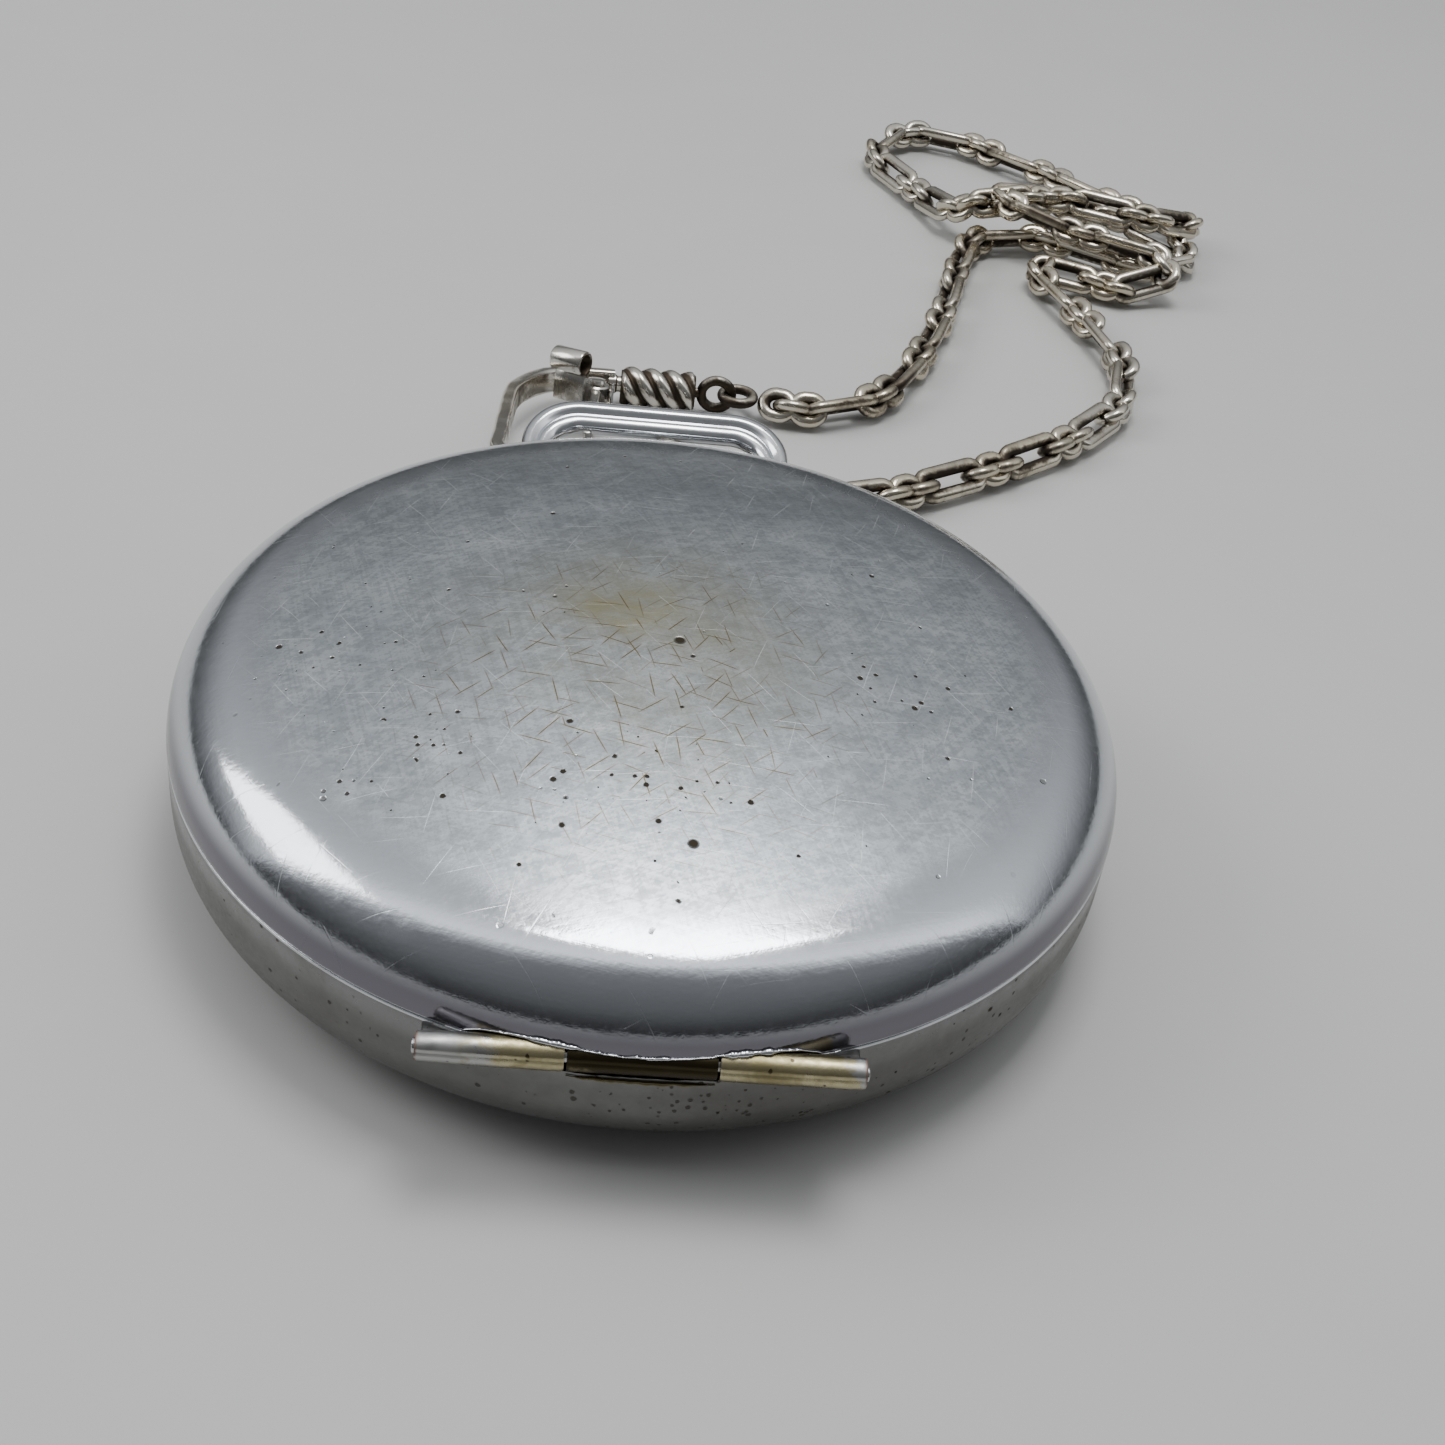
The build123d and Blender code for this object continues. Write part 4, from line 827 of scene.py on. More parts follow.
lastHeap = [(42.4, 90.2, 1.5), (46.6, 88.6, 1.5), (48.8, 85.6, 2.2), (46.2, 81.6, 3.9), (41.4, 81.4, 4.4),
            (36.6, 83.6, 4.6), (31.6, 85.2, 3.2), (29.3, 83.0, 4.6), (32.4, 79.2, 4.2), (37.4, 77.6, 3.6),
            (42.8, 76.2, 3.6), (44.6, 73.6, 2.4), (41.6, 71.6, 1.45), (37.4, 73.2, 1.45), (33.8, 75.6, 2.0),
            (32.2, 74.8, 1.6)]
farRoute = [(33.5, 71.5), (35.4, 66.4), (37.1, 61.4), (37.6, 56.2), (36.0, 51.2), (32.9, 46.9),
            (28.7, 43.1), (24.2, 39.8), (19.6, 36.8), (15.0, 34.2), (10.6, 32.9), (6.6, 32.6)]


def chainLine():
    flat = chainSet["axis"]
    points = [(x, y, flat) for x, y in nearRoute] + firstHeap
    points += [(x, y, flat) for x, y in loopRoute] + lastHeap
    points += [(x, y, flat) for x, y in farRoute]
    curve = bpy.data.curves.new("chainRoute", "CURVE")
    curve.dimensions = "3D"
    curve.resolution_u = 12
    spline = curve.splines.new("NURBS")
    spline.points.add(len(points) - 1)
    for spot, point in zip(spline.points, points):
        spot.co = (*(Vector(point) * mm), 1)
    spline.order_u = 3
    spline.use_endpoint_u = True
    holder = bpy.data.objects.new("chainRoute", curve)
    bpy.context.collection.objects.link(holder)
    bpy.context.view_layer.update()
    mesh = bpy.data.meshes.new_from_object(holder.evaluated_get(bpy.context.evaluated_depsgraph_get()))
    line = [v.co / mm for v in mesh.vertices]
    bpy.data.objects.remove(holder)
    return line


def placeOn(line, far, distance):
    # the point at a distance along a line whose running lengths are in far
    distance = min(max(distance, 0.0), far[-1])
    low, high = 0, len(far) - 1
    while high - low > 1:
        half = (low + high) // 2
        if far[half] <= distance:
            low = half
        else:
            high = half
    gap = far[high] - far[low]
    return line[low].lerp(line[high], (distance - far[low]) / gap if gap else 0)


def oneLink(length, around=24, section=12):
    # an oval link in its own XY plane, with how proud each point stands
    half = length / 2 - chainSet["wireWide"]
    bend = chainSet["linkWidth"] / 2 - chainSet["wireWide"]
    path = []
    for i in range(around):
        a = fullTurn * (i + 0.5) / around
        path.append(((half - bend) * math.copysign(1, math.cos(a)) + bend * math.cos(a), bend * math.sin(a), 0))
    shape = sweep(path, ellipse(chainSet["wireWide"], chainSet["wireThin"], section), closed=True)
    proud = []
    for i in range(around):
        inner = abs(path[i][0]) / half
        for k in range(section):
            a = fullTurn * k / section
            outward = 0.5 + 0.5 * math.cos(a)
            proud.append(0.25 + 0.55 * outward + 0.35 * abs(math.sin(a)) - 0.25 * inner ** 4)
    return shape, proud


def makeChain():
    line = chainLine()
    far = [0.0]
    for a, b in zip(line, line[1:]):
        far.append(far[-1] + (b - a).length)
    draw = random.Random(11)
    order = ["longLink", "shortLink", "shortLink", "shortLink"]
    shapes = {kind: oneLink(chainSet[kind]) for kind in set(order)}
    links, wearAndShade = [], []
    index, before, distance = 1, None, 0.0
    while True:
        kind = order[index % 4]
        length = chainSet[kind]
        distance = length / 2 if before is None else distance + before / 2 + length / 2 - 2 * chainSet["overlap"]
        if distance + length / 2 > far[-1]:
            break
        half = length / 2 - chainSet["wireWide"]
        front, back = placeOn(line, far, distance + half), placeOn(line, far, distance - half)
        middle, tangent = (front + back) / 2, (front - back).normalized()
        side = tangent.cross(up).normalized()
        tilt = chainSet["tilt"] * (1 if index % 2 else -1) + draw.uniform(-8, 8)
        side.rotate(Matrix.Rotation(math.radians(tilt), 3, tangent))
        upward = side.cross(tangent)
        (vertices, faces), proud = shapes[kind]
        placed = [middle + tangent * v.x + side * v.y + upward * v.z for v in vertices]
        lift = max(0.0, 0.05 - min(v.z for v in placed))
        links.append(([v + up * lift for v in placed], faces))
        # painted shade: wire within 0.6 mm of the floor is darkened
        wearAndShade += [p - 0.25 * max(0, 0.6 - v.z) for p, v in zip(proud, placed)]
        before = length
        index += 1
    vertices, faces = join(*links)
    chain = addPiece("watchChain", vertices, faces, silver, "case", "chain_silver",
                     ("chain_near", "chain_loop", "chain_far", "chain_pile"), 60)
    chain.data.attributes.new("wearAndShade", "FLOAT", "POINT").data.foreach_set("value", wearAndShade)
    print("chain", round(far[-1], 1), "mm long,", len(links), "links")
    return chain, line, far[-1]


chain, chainPath, chainLength = makeChain()

# case: every outline is (radius, height) in mm, the same curves as the case solids
caseSet = {
    "radius": 25.0,
    "wall": 0.9,
    "cornerRadius": 3.6,
    "cornerZ": 4.839,
    "bellyRadius": 150.0,
    "seamZ": 7.6988,
    "lidWall": 0.8,
    "shoulderRadius": 4.5,
    "domeRadius": 95.0,
    "seamGap": 0.08,
    "steps": 288,
}
hingeSet = {
    "y": -24.5,
    "z": 7.599,
    "radius": 0.75,
    "swing": 0.84,
    "half": 9.9,
    "middle": 3.3,
    "bore": 0.36,
}
caseSet["bellyZ"] = math.sqrt(caseSet["bellyRadius"] ** 2 - 10 ** 2)
caseSet["cornerR"] = caseSet["radius"] - caseSet["cornerRadius"]
caseSet["shoulderR"] = caseSet["radius"] - caseSet["shoulderRadius"]
caseSet["shoulderZ"] = caseSet["seamZ"] - 0.2
caseSet["domeZ"] = caseSet["shoulderZ"] - math.sqrt(
    (caseSet["domeRadius"] - caseSet["shoulderRadius"]) ** 2 - caseSet["shoulderR"] ** 2)


def lidOutline(inset, low, rings):
    # from the rim, over the shoulder, to the middle of the dome
    c = caseSet
    shoulder, dome = c["shoulderRadius"] - inset, c["domeRadius"] - inset
    reach = c["domeRadius"] - c["shoulderRadius"]
    rim = (c["shoulderR"] + math.sqrt(shoulder ** 2 - (low - c["shoulderZ"]) ** 2), low)
    meet = (dome * c["shoulderR"] / reach, c["domeZ"] + dome * (c["shoulderZ"] - c["domeZ"]) / reach)
    points = arcTo((c["shoulderR"], c["shoulderZ"]), rim, meet, rings)
    return points + arcTo((0, c["domeZ"]), meet, (0, c["domeZ"] + dome), rings * 2)[1:]


def bowlOutline(inset, top, rings):
    # from the foot's middle, over belly and corner, up the wall
    c = caseSet
    belly = c["bellyRadius"] - inset
    reach = c["bellyRadius"] - c["cornerRadius"]
    foot = (math.sqrt(belly ** 2 - (c["bellyZ"] - inset) ** 2), inset)
    meet = (belly * c["cornerR"] / reach, c["bellyZ"] - belly * (c["bellyZ"] - c["cornerZ"]) / reach)
    wall = (c["radius"] - inset, c["cornerZ"])
    points = [(0, inset)] + arcTo((0, c["bellyZ"]), foot, meet, rings)
    points += arcTo((c["cornerR"], c["cornerZ"]), meet, wall, rings)[1:]
    return points + [(wall[0], wall[1] + (top - wall[1]) * k / 6) for k in range(1, 7)]


def dents(a, r, z):
    # barely uneven, so that reflections wander a little
    spot = Vector((r * math.cos(a), r * math.sin(a), z))
    return 0.02 * noise.noise(spot * 0.14) + 0.004 * noise.noise(spot * 0.7) - 0.01


def hingeBar(radius, left, right, ragged=0.0, steps=28, rings=60, seed=0.0):
    # a bar along the hinge line; ragged makes its surface uneven
    vertices, faces = [], []
    for i in range(rings + 1):
        x = left + (right - left) * i / rings
        for k in range(steps):
            a = fullTurn * k / steps
            r = radius + ragged * noise.noise(Vector((x * 2.2 + seed, math.cos(a) * 1.4, math.sin(a) * 1.4)))
            vertices.append((x, hingeSet["y"] + r * math.cos(a), hingeSet["z"] + r * math.sin(a)))
    for i in range(rings):
        for k in range(steps):
            n = (k + 1) % steps
            faces.append((i * steps + k, i * steps + n, (i + 1) * steps + n, (i + 1) * steps + k))
    faces.append(tuple(range(steps)))
    faces.append(tuple(rings * steps + k for k in range(steps - 1, -1, -1)))
    return vertices, faces


def wallPoint(x, distance, above):
    # where a round gap about the hinge line meets the case wall at x; above 1 for the lid side, -1 below
    wall = -math.sqrt(caseSet["radius"] ** 2 - x * x)
    away = abs(wall - hingeSet["y"])
    rise = math.sqrt(max(0.0, distance ** 2 - away ** 2))
    z = hingeSet["z"] + above * rise
    if above > 0:
        z = max(z, caseSet["seamZ"] + 0.13)
        lean = caseSet["shoulderRadius"] ** 2 - (z - caseSet["shoulderZ"]) ** 2
        reach = caseSet["shoulderR"] + math.sqrt(max(0.0, lean))
        wall = -math.sqrt(reach ** 2 - x * x)
    return Vector((x, wall, min(z, caseSet["seamZ"] - 0.06) if above < 0 else z))


def bead(start, end, distance, above, thick, ragged, seed, count=90, fade=5):
    # a burr along the edge of a cut; a low fade makes its outer end run out slowly
    path, sizes = [], []
    for i in range(count + 1):
        t = i / count
        x = start + (end - start) * t
        lump = noise.noise(Vector((x * 1.7 + seed, seed, 0))) + 0.5 * noise.noise(Vector((x * 5 + seed, 3, 0)))
        outer = t if abs(start) > abs(end) else 1 - t
        ends = min(1, fade * outer, 5 * (1 - outer))
        path.append(wallPoint(x, distance, above) + Vector((0, -0.03, 0.05 * above * lump)))
        sizes.append(max(0.03, thick * ends * (1 + ragged * lump)))
    return sweep(path, ellipse(1, 0.7, 10), grow=lambda t: (sizes[round(t * count)], sizes[round(t * count)]))


def makeLid():
    c, h = caseSet, hingeSet
    low = c["seamZ"] + c["seamGap"]
    outer = lidOutline(0, low, 22)
    inner = lidOutline(c["lidWall"], low, 14)
    outer[0] = (outer[0][0] - 0.1, low)
    outer.insert(1, (outer[0][0] + 0.07, low + 0.02))
    outer.insert(2, (outer[0][0] + 0.1, low + 0.09))
    shape = lathe(outer + inner[::-1], c["steps"], dents)
    lid = addPiece("hingedLid", *shape, [satin, turned, shadedBrass, bright], "lid", "lid_chrome", ("lid",))
    inside = c["lidWall"] * 0.5
    for face in lid.data.polygons:
        spot = face.center / mm
        r = math.hypot(spot.x, spot.y)
        if r > c["shoulderR"]:
            depth = c["shoulderRadius"] - math.hypot(r - c["shoulderR"], spot.z - c["shoulderZ"])
        else:
            depth = c["domeRadius"] - math.hypot(r, spot.z - c["domeZ"])
        if depth > inside:
            face.material_index = 1
        # the rim's faces take the polished material; its lighter colour also paints in the seam's highlight
        elif spot.z < low + 0.12:
            face.material_index = 3
    # the cut faces take the shaded brass: painted shade inside the hinge slots
    cuts = []
    for side in (-1, 1):
        left, right = sorted((side * h["middle"], side * (h["half"] - 1.3)))
        cuts.append((*hingeBar(h["swing"], left, right, 0.05, seed=side * 3), shadedBrass))
    cuts.append((*hingeBar(h["radius"], -h["middle"], h["middle"]), shadedBrass))
    cutAway(lid, cuts)
    burrs = join(bead(-8.7, -3.4, h["swing"], 1, 0.09, 0.5, 2.0, fade=1.4), bead(-5.4, -2.6, h["swing"], 1, 0.16, 0.4, 9.0),
                 bead(3.1, 8.8, h["swing"], 1, 0.1, 0.6, 5.0, fade=1.4), bead(3.3, 6.2, h["swing"], 1, 0.17, 0.7, 7.0),
                 bead(-0.1, 1.4, h["radius"] + 0.03, 1, 0.085, 0.2, 4.0, 30),
                 bead(-3.2, 3.2, h["radius"] + 0.03, 1, 0.05, 0.4, 6.0))
    addPiece("lidHingeBurrs", *burrs, bright, "lid", "lid_chrome", sharp=60)


def makeCase():
    c, h = caseSet, hingeSet
    outer = bowlOutline(0, c["seamZ"], 26)
    inner = bowlOutline(c["wall"], c["seamZ"], 16)
    rim = outer.pop()
    outer += [(rim[0], rim[1] - 0.11), (rim[0] - 0.04, rim[1] - 0.03), (rim[0] - 0.12, rim[1])]
    shape = lathe(outer + inner[::-1], c["steps"], dents)
    case = addPiece("lowerShell", *shape, [dull, turned, shadedBrass, bright], "case", "case_chrome", ("case_body",))
    for face in case.data.polygons:
        spot = face.center / mm
        if math.hypot(spot.x, spot.y) < c["radius"] - 0.4 and face.normal.z > 0.05 or \
                math.hypot(spot.x, spot.y) < c["radius"] - 0.7 and spot.z > c["cornerZ"]:
            face.material_index = 1
        # the rim's faces take the polished material; its lighter colour also paints in the seam's highlight
        elif spot.z > c["seamZ"] - 0.1:
            face.material_index = 3
    # the cut faces take the shaded brass: painted shade inside the hinge slots
    cuts = []
    for side in (-1, 1):
        left, right = sorted((side * 3.42, side * (h["half"] + 0.06)))
        cuts.append((*hingeBar(h["radius"], left, right), shadedBrass))
    cuts.append((*hingeBar(h["swing"], -3.42, 3.42, 0.05, seed=5), shadedBrass))
    neck = moved(lathe([(0, 0), (2.4, 0), (2.4, 5), (0, 5)], 64), alongY(0, 22.6, 4.9))
    cuts.append((*neck, dull))
    cutAway(case, cuts)
    trims = join(bead(-8.4, -3.5, h["radius"], -1, 0.07, 0.5, 1.0, fade=1.5),
                 bead(3.5, 8.4, h["radius"], -1, 0.07, 0.5, 8.0, fade=1.5))
    addPiece("shellHingeEdges", *trims, bright, "case", "case_chrome", sharp=60)
    lip = bead(-3.3, 3.3, h["swing"] + 0.2, -1, 0.11, 0.35, 3.0)
    addPiece("shellHingeLip", *lip, brass, "case", "hinge_brass", sharp=60)


def makeFillets():
    # solder that fills the corner between each outer tube and the curved wall, below the seam
    h = hingeSet
    for side, label in ((-1, "leftHingeFillet"), (1, "rightHingeFillet")):
        wall = [(side * x, -math.sqrt((caseSet["radius"] - 0.15) ** 2 - x * x)) for x in (5.6, 6.6, 7.6, 8.6, 9.3, 9.75)]
        outline = [(side * 9.7, h["y"] + 0.35), (side * 5.6, h["y"] + 0.2)] + wall
        fillet = wobble(prism(outline if side < 0 else outline[::-1], h["z"] - 0.72, h["z"] - 0.02, 0.08), 0.03, 2.0)
        addPiece(label, *fillet, dull, "case", "case_chrome", sharp=40)


def rolledKnuckle(left, right, outer, bore, seed, pinch=0.0):
    # a rolled sleeve with a closed seam line, slightly squeezed towards its outer end
    steps, rings = 48, 50
    vertices, faces = [], []
    for i in range(rings + 1):
        t = i / rings
        x = left + (right - left) * t
        rounding = min(t, 1 - t) * abs(right - left)
        ease = 1 - 0.05 * max(0.0, 1 - rounding / 0.15) ** 2
        for layer in (0, 1):
            for k in range(steps):
                a = fullTurn * k / steps
                r = (outer - 0.012) * ease * (1 - pinch * t ** 4) if layer == 0 else bore
                if layer == 0:
                    r += 0.018 * noise.noise(Vector((x * 1.3 + seed, math.cos(a), math.sin(a))))
                    gap = abs((a - 0.9 * math.pi + math.pi) % fullTurn - math.pi)
                    r -= 0.07 * max(0.0, 1 - gap / 0.14)
                vertices.append((x, hingeSet["y"] + r * math.cos(a), hingeSet["z"] + r * math.sin(a)))
    row = 2 * steps
    for i in range(rings):
        for layer in (0, 1):
            for k in range(steps):
                n = (k + 1) % steps
                a, b = i * row + layer * steps, (i + 1) * row + layer * steps
                faces.append((a + k, a + n, b + n, b + k))
    for end in (0, rings):
        for k in range(steps):
            n = (k + 1) % steps
            faces.append((end * row + k, end * row + n, end * row + steps + n, end * row + steps + k))
    return vertices, faces


def makeHinge():
    h = hingeSet
    tubes = join(rolledKnuckle(-3.42, -h["half"], h["radius"], h["bore"], 1.0, 0.12),
                 rolledKnuckle(3.42, h["half"], h["radius"], h["bore"], 6.0, 0.06))
    addPiece("outerKnuckles", *tubes, brass, "case", "hinge_brass", ("case_knuckles",))
    middle = rolledKnuckle(-h["middle"], h["middle"], h["radius"] - 0.03, 0.38, 3.0)
    knuckle = addPiece("middleKnuckle", *middle, shadedBrass, "lid", "hinge_brass", ("lid_knuckle",))
    # painted shade under the lid's overhang: upward-facing and end faces are set darkest
    giveWearAndShade(knuckle, lambda p, n: 0.42 - 0.3 * n.z - 0.25 * abs(n.x))
    pin = lathe([(0, 0)] + arc((0.35 - 0.06, 0.06), 0.06, -90, 0, 4)
                + arc((0.35 - 0.06, 2 * h["half"] + 0.24), 0.06, 0, 90, 4) + [(0, 2 * h["half"] + 0.3)], 32)
    addPiece("hingePin", *moved(pin, alongX(-h["half"] - 0.15, h["y"], h["z"])), steel, "case", "steel",
             ("hinge_pin",))


makeLid()
makeCase()
makeFillets()
makeHinge()
print("case, lid and hinge made")

# pendant, crown and bow
neckSet = {
    "axisZ": 4.9,
    "start": 23.1,
    "end": 27.3,
    "radius": 2.4,
    "bore": 1.02,
    "pivotY": 26.3,
}
crownSet = {"low": 27.6, "length": 2.6, "radius": 2.6, "ribs": 32, "depth": 0.2}
bowSet = {
    "halfWidth": 7.85,
    "length": 6.65,
    "farRadius": 3.0,
    "nearRadius": 2.3,
    "inner": 2.6,
    "wide": 1.25,
    "slim": 0.66,
    "thick": 0.7,
    "groove": 0.32,
    "tilt": 18.0,
}


def makeNeck():
    n = neckSet
    far = n["end"] - n["start"]
    outline = [(n["bore"], 0), (n["radius"] - 0.02, 0)]
    outline += [(n["radius"] - 0.02, 1.9), (n["radius"], 2.05), (n["radius"], far - 0.75), (n["radius"] - 0.16, far - 0.62)]
    outline += [(n["radius"] - 0.16, far - 0.5)] + arc((n["radius"] - 0.22, far - 0.22), 0.22, -60, 90, 8)
    outline += [(n["bore"] + 0.1, far), (n["bore"], far - 0.1)]
    shape = moved(lathe(outline, 96), alongY(0, n["start"], n["axisZ"]))
    neck = addPiece("neck", *shape, bright, "case", "case_chrome", ("pendant",))
    hole = moved(lathe([(0, 0), (0.63, 0), (0.63, 6), (0, 6)], 40), alongX(-3, n["pivotY"], n["axisZ"]))
    inside = lathe(bowlOutline(caseSet["wall"], caseSet["seamZ"] + 1, 16) + [(0, caseSet["seamZ"] + 1)], 128)
    cutAway(neck, [(*hole, bright), (*inside, bright)])


def makeCrown():
    c = crownSet
    steps = c["ribs"] * 10
    outline = [(0.6, 0), (c["radius"] - 0.75, 0), (c["radius"] - 0.55, 0.12), (c["radius"] - 0.3, 0.3)]
    outline += [(c["radius"], 0.5 + 0.16 * k) for k in range(0, 11)]
    outline += [(c["radius"] - 0.12, 2.22), (c["radius"] - 0.45, 2.42), (c["radius"] - 1.0, 2.54), (1.0, 2.6), (0, 2.6), (0, 1.4), (0.6, 1.4)]

    def ribs(a, r, z):
        if r < c["radius"] - 0.05:
            return 0
        fade = max(0.0, min(1.0, (z - 0.45) / 0.25, (2.15 - z) / 0.25))
        wave = abs(math.sin(c["ribs"] * a / 2))
        return -c["depth"] * (1 - wave ** 0.6) * (0.35 + 0.65 * fade)

    shape = moved(lathe(outline, steps, ribs), alongY(0, c["low"], neckSet["axisZ"]))
    addPiece("windingCrown", *shape, bright, "crown", "case_chrome", ("crown",))


def makeBow():
    b = bowSet
    corners = [(-b["inner"], 0, 0), (-b["halfWidth"], 0, 0), (-b["halfWidth"], b["length"], 0),
               (b["halfWidth"], b["length"], 0), (b["halfWidth"], 0, 0), (b["inner"], 0, 0)]
    radii = [b["nearRadius"], b["farRadius"], b["farRadius"], b["nearRadius"]]
    path = densify(roundRun(corners, radii, 18), 0.4)
    outline = []
    for k in range(40):
        a = fullTurn * k / 40
        dip = b["groove"] * math.exp(-(math.cos(a) / 0.26) ** 2)
        outline.append((b["wide"] * math.cos(a), (b["thick"] - dip) * math.copysign(abs(math.sin(a)) ** 0.75, math.sin(a))))
    count = len(path) - 1

    def ends(t):
        # slim beside the neck and along the arms, broad across the far side
        near = min(t, 1 - t)
        side = max(0.0, min(1.0, (near - 0.22) / 0.12))
        share = min(b["slim"], 0.45 + near * count / 38)
        return share + (1 - b["slim"]) * side, min(1.0, 0.8 + near * count / 30)

    loop = sweep(path, outline, grow=ends)
    pins = [moved(lathe([(0, 0), (0.6, 0), (0.6, 1.5), (0, 1.5)], 32), alongX(x, 0, 0)) for x in (-2.75, 1.25)]
    turn = Matrix.Rotation(math.radians(b["tilt"]), 3, "X")
    shape = moved(join(loop, *pins), lambda v: turn @ v + Vector((0, neckSet["pivotY"], neckSet["axisZ"])))
    addPiece("bowLoop", *shape, bright, "bow", "bow_chrome", ("bow",), 40)


makeNeck()
makeCrown()
makeBow()
print("neck, crown and bow made")

# swivel clasp: lengths along the hook run from the barrel towards the case
claspSet = {
    "y": 47.3,
    "barrelZ": 1.6,
    "barrelRadius": 1.5,
    "left": -2.4,
    "right": 3.1,
    "neckZ": 1.9,
    "slope": 13.5,
    "thick": 0.95,
    "high": 1.75,
    "strands": 3,
    "strandPitch": 4.3,
    "ringMean": 1.12,
    "ringWire": 0.38,
    "eyeX": 4.7,
    "link": 1.6,
}


def onHook(across, along, height=0.0):
    slope = math.radians(claspSet["slope"])
    return Vector((across, claspSet["y"] - along * math.cos(slope) + height * math.sin(slope),
                   claspSet["neckZ"] + along * math.sin(slope) + height * math.cos(slope)))


def hookSpace(shape):
    # from (across, -along, height) to the hook's sloping plane
    return moved(shape, lambda v: onHook(v.x, -v.y, v.z))


hookUp = (onHook(0, 0, 1) - onHook(0, 0, 0)).normalized()


def makeHook():
    s = claspSet
    route = [(-2.9, 0), (-7.4, 0.1), (-10.1, 5.2), (-10.3, 21.4), (-4.9, 22.2), (-4.6, 19.2)]
    path = roundRun([onHook(*p) for p in route], [4.5, 12, 2.6, 1.9], 24)
    path = densify(path, 0.5)
    total = len(path) - 1

    def taper(t):
        # full strip by the barrel, slimmer round the far bend, pointed at the tip
        tip = min(1.0, (1 - t) * total / 5)
        high = 1.0 - 0.24 * max(0.0, min(1.0, (t - 0.45) / 0.2))
        return 0.72 + 0.28 * tip, high * (0.6 + 0.4 * tip)

    strip = sweep(path, softBox(s["thick"], s["high"], 0.26, 5), hint=hookUp, grow=taper)
    root = lathe([(0, 0), (0.72, 0), (0.72, 0.5), (0.6, 0.62), (0.6, 1.15), (0, 1.15)], 32)
    root = moved(root, alongX(-3.3, s["y"], s["barrelZ"] + 0.15))
    low = -0.6 - 0.1 - 0.45
    ear = hookSpace(prism([(-5.3, -0.3), (-5.3, -4.3), (-4.9, -4.6), (-3.5, -4.6), (-3.1, -4.2), (-3.1, -0.3)],
                          low, low + 0.45, 0.06))
    post = hookSpace(prism([(-5.3, -0.2), (-5.3, -0.45), (-3.1, -0.45), (-3.1, -0.2)], low, 0, 0.03))
    hook = addPiece("claspHook", *wobble(join(strip, root, ear, post), 0.035, 1.6), claspMetal, "case",
                    "clasp_metal", ("clasp_hook",), 40)
    # mostly light; a little darker on the strip's sides and underneath
    giveWearAndShade(hook, lambda p, n: 0.8 + 0.3 * abs(n.dot(hookUp)) + 0.12 * n.z)


